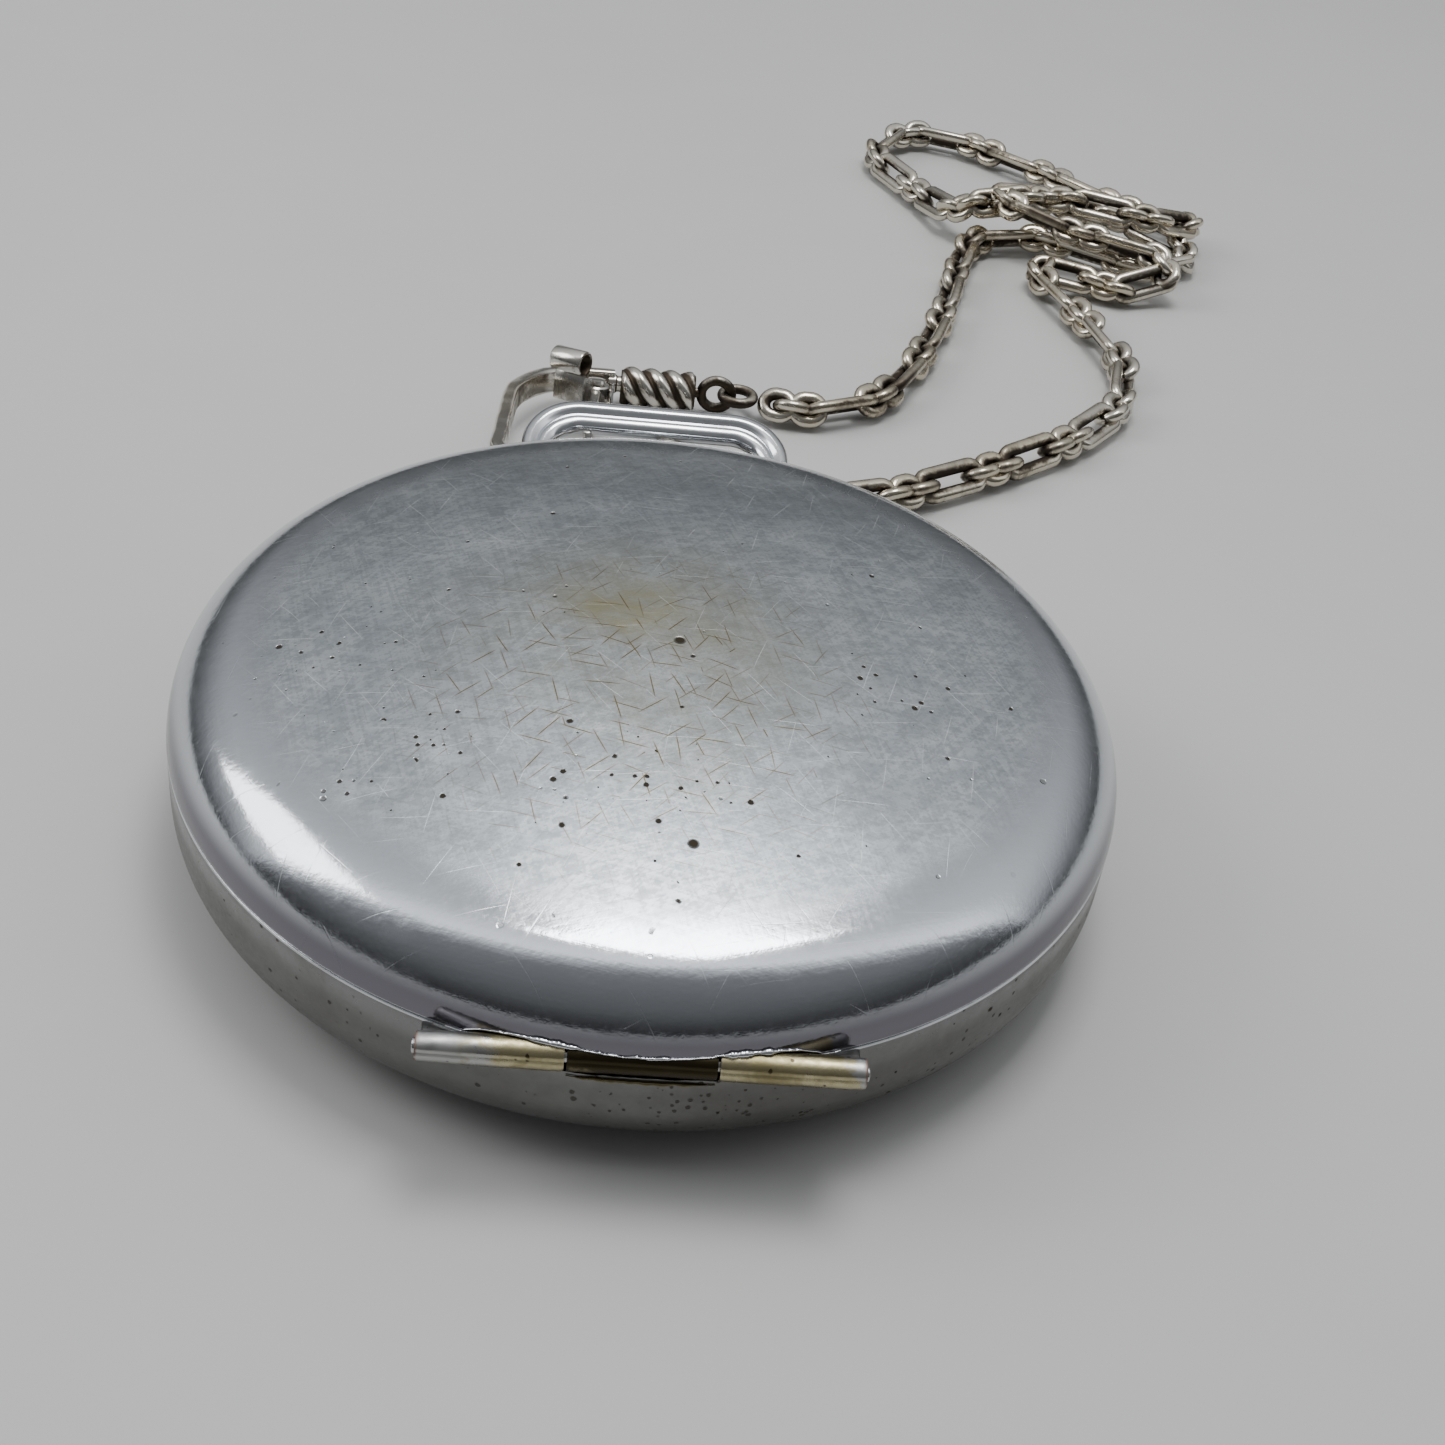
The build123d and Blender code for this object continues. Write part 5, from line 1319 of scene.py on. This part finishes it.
def makeGate():
    # lever of the catch: a bar along the hook's mouth with a curled thumb tab
    pivot, tip = Vector((-4.2, -3.4, 0)), Vector((-4.6, -18.4, -0.55))
    path = densify([pivot, tip], 0.5)
    total = len(path) - 1
    bar = sweep(path, softBox(0.8, 1.04, 0.2, 4), grow=lambda t: (1 - 0.45 * t ** 3, 1 - 0.35 * t ** 2))
    boss = moved(lathe([(0.38, -0.6), (0.9, -0.6), (1.0, -0.5), (1.0, 0.5), (0.9, 0.6), (0.38, 0.6)], 40), at(*pivot))
    # the tab leaves the bar, rises and rolls over on itself
    tab = [(-4.85, -0.4), (-4.85, 0.9), (-4.8, 1.5)]
    roll = arc((-4.85, 2.5), 0.78, -75, 225, 22)
    strip = tab + [(y, z) for y, z in roll]
    faces, vertices = [], []
    for x in (-7.35, -7.25, -4.95, -4.85):
        inset = 0.05 if x in (-7.35, -4.85) else 0
        for i, (y, z) in enumerate(strip):
            a, b = Vector(strip[max(i - 1, 0)]), Vector(strip[min(i + 1, len(strip) - 1)])
            normal = Vector((-(b - a).y, (b - a).x)).normalized() * (0.14 - inset)
            vertices += [(x, y + normal.x, z + normal.y), (x, y - normal.x, z - normal.y)]
    row = 2 * len(strip)
    for c in range(3):
        for i in range(len(strip) - 1):
            a, b = c * row + 2 * i, (c + 1) * row + 2 * i
            faces += [(a, a + 2, b + 2, b), (a + 1, b + 1, b + 3, a + 3)]
        a, b = c * row, (c + 1) * row
        faces += [(a, b, b + 1, a + 1), (a + row - 2, a + row - 1, b + row - 1, b + row - 2)]
    for i in range(len(strip) - 1):
        a, b = 2 * i, 3 * row + 2 * i
        faces += [(a, a + 1, a + 3, a + 2), (b, b + 2, b + 3, b + 1)]
    turn = Matrix.Rotation(math.radians(-32), 3, "Z")
    hub = Vector((-6.1, -4.85, 0))
    vertices = [turn @ (Vector(v) - hub) + hub for v in vertices]
    neck = prism([(-5.95, -4.7), (-5.95, -5.05), (-4.55, -5.05), (-4.55, -4.65)], -0.5, 1.3, 0.05)
    shape = hookSpace(join(bar, boss, (vertices, faces), neck))
    gate = addPiece("claspGate", *wobble(shape, 0.03, 1.4, 5), claspMetal, "gate", "clasp_metal", ("clasp_gate",), 40)
    centre = onHook(-6.1, 4.85, 2.5)
    line = turn @ Vector((1, 0, 0))

    def rule(p, n):
        # painted shade inside the curled thumb tab
        inside = (p - centre).cross(line).length < 0.74 and abs(p.z - centre.z) < 1
        return 0.1 if inside else 0.62 + 0.3 * abs(n.z)

    giveWearAndShade(gate, rule)
    pinShape = lathe([(0, -0.6), (0.35, -0.6), (0.35, 0.7), (0.68, 0.7), (0.7, 0.78), (0.62, 0.95), (0.4, 1.0), (0, 1.0)], 32)
    pin = addPiece("gatePin", *hookSpace(moved(pinShape, at(*pivot))), claspMetal, "case", "steel", ("gate_pin",))
    giveWearAndShade(pin, lambda p, n: 0.8)
    spring = [(-3.0, -1.9), (-2.98, -3.5), (-3.04, -5.2), (-3.0, -6.6), (-2.94, -8.0)]
    shape = hookSpace(sweep(densify([(x, y, 0) for x, y in spring], 0.4), softBox(0.16, 0.8, 0.04, 2)))
    leaf = addPiece("gateSpring", *shape, steel, "case", "steel", ("gate_spring",))


def makeBarrel():
    s = claspSet
    length = s["right"] - s["left"]
    steps, rows = 72, 96
    vertices, faces = [], []
    for i in range(rows + 1):
        x = length * i / rows
        end = max(0.0, min(1.0, x / 0.28, (length - x) / 0.28))
        for k in range(steps):
            a = fullTurn * k / steps
            wave = math.cos(s["strands"] * (a - fullTurn * x / s["strandPitch"]))
            rope = s["barrelRadius"] - 0.42 * (1 - (0.5 + 0.5 * wave) ** 0.55)
            r = (s["barrelRadius"] - 0.3) * (1 - end) + rope * end
            vertices.append((x, r * math.cos(a), r * math.sin(a)))
    for i in range(rows):
        for k in range(steps):
            n = (k + 1) % steps
            faces.append((i * steps + k, i * steps + n, (i + 1) * steps + n, (i + 1) * steps + k))
    bore = len(vertices)
    for x, r in ((length, 0.5), (length - 0.5, 0.47), (length - 1.1, 0.45)):
        vertices += [(x, r * math.cos(fullTurn * k / steps), r * math.sin(fullTurn * k / steps)) for k in range(steps)]
    for k in range(steps):
        n = (k + 1) % steps
        faces.append((rows * steps + k, rows * steps + n, bore + n, bore + k))
        for row in (0, 1):
            faces.append((bore + row * steps + k, bore + row * steps + n, bore + (row + 1) * steps + n,
                          bore + (row + 1) * steps + k))
    faces.append(tuple(bore + 2 * steps + k for k in range(steps)))
    faces.append(tuple(range(steps - 1, -1, -1)))
    shape = moved((vertices, faces), lambda v: v + Vector((s["left"], s["y"], s["barrelZ"])))
    barrel = addPiece("claspBarrel", *shape, claspMetal, "case", "clasp_metal", ("clasp_barrel",), 60)
    axis = Vector((0, s["y"], s["barrelZ"]))

    def rule(p, n):
        away = math.hypot(p.y - axis.y, p.z - axis.z)
        return 0.05 + 1.0 * (away - 1.1) / 0.4 if away > 0.6 else 0.1

    giveWearAndShade(barrel, rule)


def ring(mean, wire, x, y, z, upright, lopsided=0.0):
    path = []
    for k in range(40):
        a = fullTurn * k / 40
        r = mean * (1 + lopsided * math.cos(2 * a))
        path.append((x + r * math.cos(a), y, z + r * math.sin(a)) if upright else
                    (x + r * math.cos(a), y + r * math.sin(a), z))
    return sweep(path, ellipse(wire, wire, 14), closed=True, hint=Vector((0, 1, 0)) if upright else up)


def makeEye():
    s = claspSet
    eye = ring(s["ringMean"], s["ringWire"], s["eyeX"], s["y"], s["barrelZ"], True)
    shank = lathe([(0, 0), (0.42, 0), (0.42, 1.0), (0.36, 1.15), (0.38, 1.6), (0, 1.75)], 24)
    shank = moved(shank, alongX(s["right"] - 1.3, s["y"], s["barrelZ"]))
    piece = addPiece("swivelEye", *join(eye, shank), claspMetal, "swivel", "clasp_metal", ("swivel_eye",), 60)
    # lighter on the upper faces, darker underneath
    giveWearAndShade(piece, lambda p, n: 0.25 + 0.5 * max(0, n.z))
    loop = ring(s["ringMean"], s["ringWire"], s["eyeX"] + s["link"], s["y"], s["barrelZ"], False, 0.03)
    piece = addPiece("jumpRing", *loop, silver, "case", "chain_silver", ("clasp_ring",), 60)
    # lighter on the upper faces, darker underneath
    giveWearAndShade(piece, lambda p, n: 0.3 + 0.5 * max(0, n.z))


makeHook()
makeGate()
makeBarrel()
makeEye()
print("clasp made")

# T-bar at the chain's other end
barSet = {"x": 1.1, "y": 32.6, "z": 0.95, "radius": 0.9, "half": 8.2, "ringX": 5.08, "eyeX": 3.48, "ringZ": 1.65}


def makeTBar():
    b = barSet
    span = 2 * b["half"]
    outline = [(0, 0), (0.35, 0.03), (0.62, 0.15), (0.82, 0.4), (0.9, 0.72), (0.84, 1.02), (0.66, 1.24), (0.55, 1.36)]
    outline += [(0.62, 1.46), (0.62, 1.6), (0.55, 1.7), (0.6, 2.4), (0.72, 4.6), (0.86, 7.2), (0.9, span / 2)]
    whole = outline + [(r, span - z) for r, z in outline[-2::-1]]
    bar = moved(lathe(whole, 40), alongY(b["x"], b["y"] - b["half"], b["z"]))
    eye = ring(claspSet["ringMean"], claspSet["ringWire"], b["eyeX"], b["y"], b["ringZ"], True)
    arm = sweep(densify([(b["x"], b["y"], 1.5), (b["eyeX"] - 1.1, b["y"], 1.5)], 0.3), ellipse(0.26, 0.26, 12))
    piece = addPiece("tBar", *join(bar, eye, arm), silver, "case", "chain_silver", ("t_bar",), 50)
    # lighter on the upper faces, darker underneath
    giveWearAndShade(piece, lambda p, n: 0.5 + 0.3 * max(0, n.z))
    loop = ring(claspSet["ringMean"], claspSet["ringWire"], b["ringX"], b["y"], b["ringZ"], False, 0.03)
    piece = addPiece("tBarRing", *loop, silver, "case", "chain_silver", ("t_bar_ring",), 60)
    # lighter on the upper faces, darker underneath
    giveWearAndShade(piece, lambda p, n: 0.3 + 0.5 * max(0, n.z))


makeTBar()
[tuple(p * mm) for p in chainPath]
print("T-bar made")

# dial, numerals, bezel, glass and hands
dialSet = {
    "low": 7.0,
    "high": 7.35,
    "radius": 21.2,
    "middleHole": 1.35,
    "seconds": (0.0, -10.5),
    "secondsRadius": 4.2,
    "secondsHole": 0.6,
    "ink": 0.035,
    "numeralOut": 18.6,
    "numeralIn": 15.0,
    "track": 20.1,
}
bezelSet = {"low": 7.37, "inner": 20.7, "outer": 23.1, "high": 8.97, "seat": 7.97, "glass": 22.02}
glassSet = {"radius": 22.0, "low": 7.99, "edge": 0.8, "dome": 110.0, "thick": 0.8}


def flatRing(inner, outer, low, high, steps=192):
    return lathe([(inner, low), (outer, low), (outer, high), (inner, high)], steps)


def makeDial():
    d = dialSet
    sx, sy = d["seconds"]
    outline = [(d["middleHole"], d["low"]), (d["radius"], d["low"]), (d["radius"], d["high"] - 0.12)]
    outline += [(d["radius"] - 0.1, d["high"]), (12.0, d["high"]), (d["middleHole"] + 0.08, d["high"]),
                (d["middleHole"], d["high"] - 0.06)]
    dial = addPiece("enamelDial", *lathe(outline, 192), enamel, "case", "dial_enamel", ("dial",))
    sunk = moved(lathe([(0, d["high"] - 0.1), (d["secondsRadius"] - 0.12, d["high"] - 0.1),
                        (d["secondsRadius"], d["high"] + 0.02), (d["secondsRadius"], d["high"] + 1), (0, d["high"] + 1)], 96),
                 at(sx, sy))
    hole = moved(flatRing(0, d["secondsHole"], d["low"] - 1, d["high"] + 1, 40), at(sx, sy))
    cutAway(dial, [(*sunk, enamel), (*hole, enamel)])


def stroke(a, b, width, low, high):
    a, b = Vector(a), Vector(b)
    side = Vector((-(b - a).y, (b - a).x)).normalized() * width / 2
    return prism([tuple(a - side), tuple(b - side), tuple(b + side), tuple(a + side)], low, high)


def numeral(text, low, high):
    # Roman figures built from thick and thin strokes with serifs, upright at the origin
    tall = dialSet["numeralOut"] - dialSet["numeralIn"]
    widths = {"I": 0.85, "V": 1.75, "X": 1.75}
    x = -sum(widths[c] for c in text) / 2
    parts = []
    for c in text:
        w = widths[c]
        mid = x + w / 2
        if c == "I":
            parts.append(stroke((mid, 0), (mid, tall), 0.42, low, high))
            parts += [stroke((mid - 0.42, h), (mid + 0.42, h), 0.1, low, high) for h in (0.05, tall - 0.05)]
        elif c == "V":
            parts.append(stroke((mid - 0.55, tall), (mid, 0), 0.42, low, high))
            parts.append(stroke((mid + 0.55, tall), (mid + 0.05, 0), 0.13, low, high))
            parts += [stroke((mid + s * 0.55 - 0.3, tall - 0.05), (mid + s * 0.55 + 0.3, tall - 0.05), 0.1, low, high)
                      for s in (-1, 1)]
        else:
            parts.append(stroke((mid - 0.55, tall), (mid + 0.55, 0), 0.42, low, high))
            parts.append(stroke((mid + 0.55, tall), (mid - 0.55, 0), 0.13, low, high))
            parts += [stroke((mid + s * 0.55 - 0.3, h), (mid + s * 0.55 + 0.3, h), 0.1, low, high)
                      for s in (-1, 1) for h in (0.05, tall - 0.05)]
        x += w
    return join(*parts)


def makeNumerals():
    d = dialSet
    low, high = d["high"] - 0.005, d["high"] + d["ink"]
    parts = []
    names = ["XII", "I", "II", "III", "IIII", "V", "VI", "VII", "VIII", "IX", "X", "XI"]
    for hour, text in enumerate(names):
        if hour == 6:
            continue
        turn = Matrix.Rotation(-fullTurn * hour / 12, 3, "Z")
        parts.append(moved(numeral(text, low, high), lambda v: turn @ (v + Vector((0, d["numeralIn"], 0)))))
    for minute in range(60):
        turn = Matrix.Rotation(-fullTurn * minute / 60, 3, "Z")
        wide = 0.3 if minute % 5 == 0 else 0.1
        mark = stroke((0, d["track"] - 0.4), (0, d["track"] + 0.4), wide, low, high)
        parts.append(moved(mark, lambda v: turn @ v))
    parts += [flatRing(d["track"] + s - 0.05, d["track"] + s + 0.05, low, high, 180) for s in (-0.4, 0.4)]
    sx, sy = d["seconds"]
    floor = d["high"] - 0.1
    for second in range(60):
        turn = Matrix.Rotation(-fullTurn * second / 60, 3, "Z")
        long = 0.75 if second % 15 == 0 else 0.55 if second % 5 == 0 else 0.3
        mark = stroke((0, 3.75 - long), (0, 3.75), 0.13 if second % 5 == 0 else 0.07, floor - 0.005, floor + d["ink"])
        parts.append(moved(mark, lambda v: turn @ v + Vector((sx, sy, 0))))
    parts.append(moved(flatRing(3.72, 3.8, floor - 0.005, floor + d["ink"], 96), at(sx, sy)))
    addPiece("dialPrint", *join(*parts), ink, "case", "marker_ink", ("hour_markers",))


def makeBezel():
    b = bezelSet
    outline = [(b["inner"], b["low"]), (b["outer"] - 0.08, b["low"]), (b["outer"], b["low"] + 0.1)]
    outline += [(b["outer"], b["low"] + 0.72)] + arc((b["outer"] - 0.5, b["low"] + 1.05), 0.5, -10, 88, 10)
    outline += [(b["glass"] + 0.16, b["high"]), (b["glass"], b["high"] - 0.12), (b["glass"], b["seat"])]
    outline += [(b["inner"] + 0.25, b["seat"]), (b["inner"], b["seat"] - 0.25)]
    outline = [(r, min(z, b["high"])) for r, z in outline]
    addPiece("glassBezel", *lathe(outline, 240), bright, "case", "case_chrome", ("bezel",))


def makeGlass():
    g = glassSet
    top = g["low"] + g["edge"]
    centre = top - math.sqrt(g["dome"] ** 2 - g["radius"] ** 2)
    inner = g["radius"] - 1.0
    under = g["dome"] - g["thick"]
    outline = [(inner, g["low"]), (g["radius"] - 0.05, g["low"]), (g["radius"], g["low"] + 0.05), (g["radius"], top - 0.08)]
    outline += arcTo((0, centre), (g["radius"] - 0.08, top), (0, centre + g["dome"]), 24)
    outline += arcTo((0, centre), (0, centre + under), (inner, math.sqrt(under ** 2 - inner ** 2) + centre), 24)
    addPiece("watchCrystal", *lathe(outline, 192), glass, "case", "glass", ("crystal",))


def handShape(length, root, waist, tail, hub, low, thick, bore):
    # a blade that swells to a leaf, with a ridge down its middle
    rows = [(-tail, root * 0.8), (-tail * 0.5, root * 0.55), (0, root * 0.5), (length * 0.18, root * 0.34)]
    rows += [(length * 0.45, waist * 0.62), (length * 0.62, waist), (length * 0.74, waist * 0.78),
             (length * 0.86, waist * 0.3), (length, 0.04)]
    vertices, faces = [], []
    for along, half in rows:
        vertices += [(along, -half, low), (along, -half, low + thick * 0.45), (along, 0, low + thick),
                     (along, half, low + thick * 0.45), (along, half, low)]
    for i in range(len(rows) - 1):
        for k in range(5):
            n = (k + 1) % 5
            faces.append((i * 5 + k, i * 5 + n, (i + 1) * 5 + n, (i + 1) * 5 + k))
    faces += [(4, 3, 2, 1, 0), tuple((len(rows) - 1) * 5 + k for k in range(5))]
    boss = lathe([(bore, low), (hub, low), (hub, low + thick * 0.7), (hub - 0.1, low + thick), (bore, low + thick)], 40)
    return join((vertices, faces), boss)


def makeHands():
    hourLow, thick = dialSet["high"] + 0.42, 0.15
    minuteLow = hourLow + thick + 0.25
    hands = [
        ("hourHand", handShape(10.5, 0.85, 0.85, 0.8, 1.8, hourLow, thick, 1.05), 145, (0, 0), "hour", "hour_hand"),
        ("minuteHand", handShape(16.5, 0.62, 0.62, 2.5, 1.5, minuteLow, thick, 0.62), 37, (0, 0), "centre",
         "minute_hand"),
        ("secondsHand", handShape(3.6, 0.16, 0.12, 1.2, 0.5, dialSet["high"] + 0.05, thick, 0.2), 215,
         dialSet["seconds"], "fourth", "seconds_hand"),
    ]
    for name, shape, bearing, place, body, node in hands:
        turn = Matrix.Rotation(math.radians(bearing), 3, "Z")
        shape = moved(shape, lambda v: turn @ v + Vector((*place, 0)))
        addPiece(name, *shape, blued, body, "hand_steel", (node,), 25)


makeDial()
makeNumerals()
makeBezel()
makeGlass()
makeHands()
print("dial, glass and hands made")

# the movement keeps its own solids and takes these finishes
movementFinish = {
    "main_plate": spotted,
    "movement_ring": turned,
    "mainspring_barrel": gilt, "centre_wheel": gilt, "third_wheel": gilt, "fourth_wheel": gilt,
    "balance_wheel": gilt, "minute_wheel": gilt, "hour_wheel": gilt,
    "barrel_bridge": striped, "train_bridge": striped, "balance_cock": striped,
    "mainspring": blued, "hairspring": blued, "bridge_screws": blued, "case_screws": blued,
    "crown_wheel_screw": blued, "click": blued,
    "ratchet_wheel": snailed, "crown_wheel": snailed,
    "catch_spring": steel, "stem": steel, "stem_collar": steel, "winding_pinion": steel, "barrel_arbor": steel,
    "escape_wheel": steel, "pallet_fork": steel, "cannon_pinion": steel,
}
for name, finish in movementFinish.items():
    for spot in nodes[name].material_slots:
        spot.material = finish
print("movement finished")

# floor and light
lightSet = {
    "floor": 3000,
    "sky": [(0.0, 0.20), (0.05, 0.28), (0.20, 0.52), (0.33, 0.74), (0.43, 0.88), (0.50, 1.35),
            (0.545, 1.6), (0.58, 0.6), (0.63, 0.24), (0.80, 0.16), (1.0, 0.14)],
    "overhead": {"place": (30, 60, 330), "size": 120, "power": 0.55},
    "side": {"place": (-260, 40, 210), "size": 160, "power": 0.35},
}


def makeStage():
    half = lightSet["floor"] / 2
    corners = [(-half, -half, 0), (half, -half, 0), (half, half, 0), (-half, half, 0)]
    mesh = bpy.data.meshes.new("floor")
    mesh.from_pydata([Vector(c) * mm for c in corners], [], [(0, 1, 2, 3)])
    floor = bpy.data.objects.new("floor", mesh)
    bpy.context.collection.objects.link(floor)
    mesh.materials.append(floorFinish())
    for label in ("overhead", "side"):
        values = lightSet[label]
        lamp = bpy.data.lights.new(label, "AREA")
        lamp.size = values["size"] * mm
        lamp.energy = values["power"]
        holder = bpy.data.objects.new(label, lamp)
        bpy.context.collection.objects.link(holder)
        place = Vector(values["place"]) * mm
        holder.location = place
        holder.rotation_euler = (Vector((0, 0.01, 0.01)) - place).to_track_quat("-Z", "Y").to_euler()


def makeSky():
    # a sky that is bright overhead and falls off towards the horizon and behind the camera
    world = bpy.data.worlds.new("studio")
    bpy.context.scene.world = world
    world.use_nodes = True
    t = world.node_tree
    direction = t.nodes.new("ShaderNodeTexCoord").outputs["Generated"]
    parts = t.nodes.new("ShaderNodeSeparateXYZ")
    t.links.new(direction, parts.inputs[0])
    around = calc(t, "DIVIDE", calc(t, "ARCTAN2", parts.outputs[2], parts.outputs[1]), math.pi, clamp=True)
    ramp = t.nodes.new("ShaderNodeValToRGB")
    while len(ramp.color_ramp.elements) < len(lightSet["sky"]):
        ramp.color_ramp.elements.new(0.5)
    for element, (place, value) in zip(ramp.color_ramp.elements, lightSet["sky"]):
        element.position = place
        element.color = (value / 2.2 * 0.98, value / 2.2, value / 2.2 * 1.02, 1)
    t.links.new(around, ramp.inputs[0])
    low = spread(t, parts.outputs[2], 0.0, 0.6, 0.45, 1.0)
    background = t.nodes["Background"]
    t.links.new(ramp.outputs[0], background.inputs["Color"])
    t.links.new(calc(t, "MULTIPLY", low, 2.2), background.inputs["Strength"])


makeStage()
makeSky()
print("floor and light set")
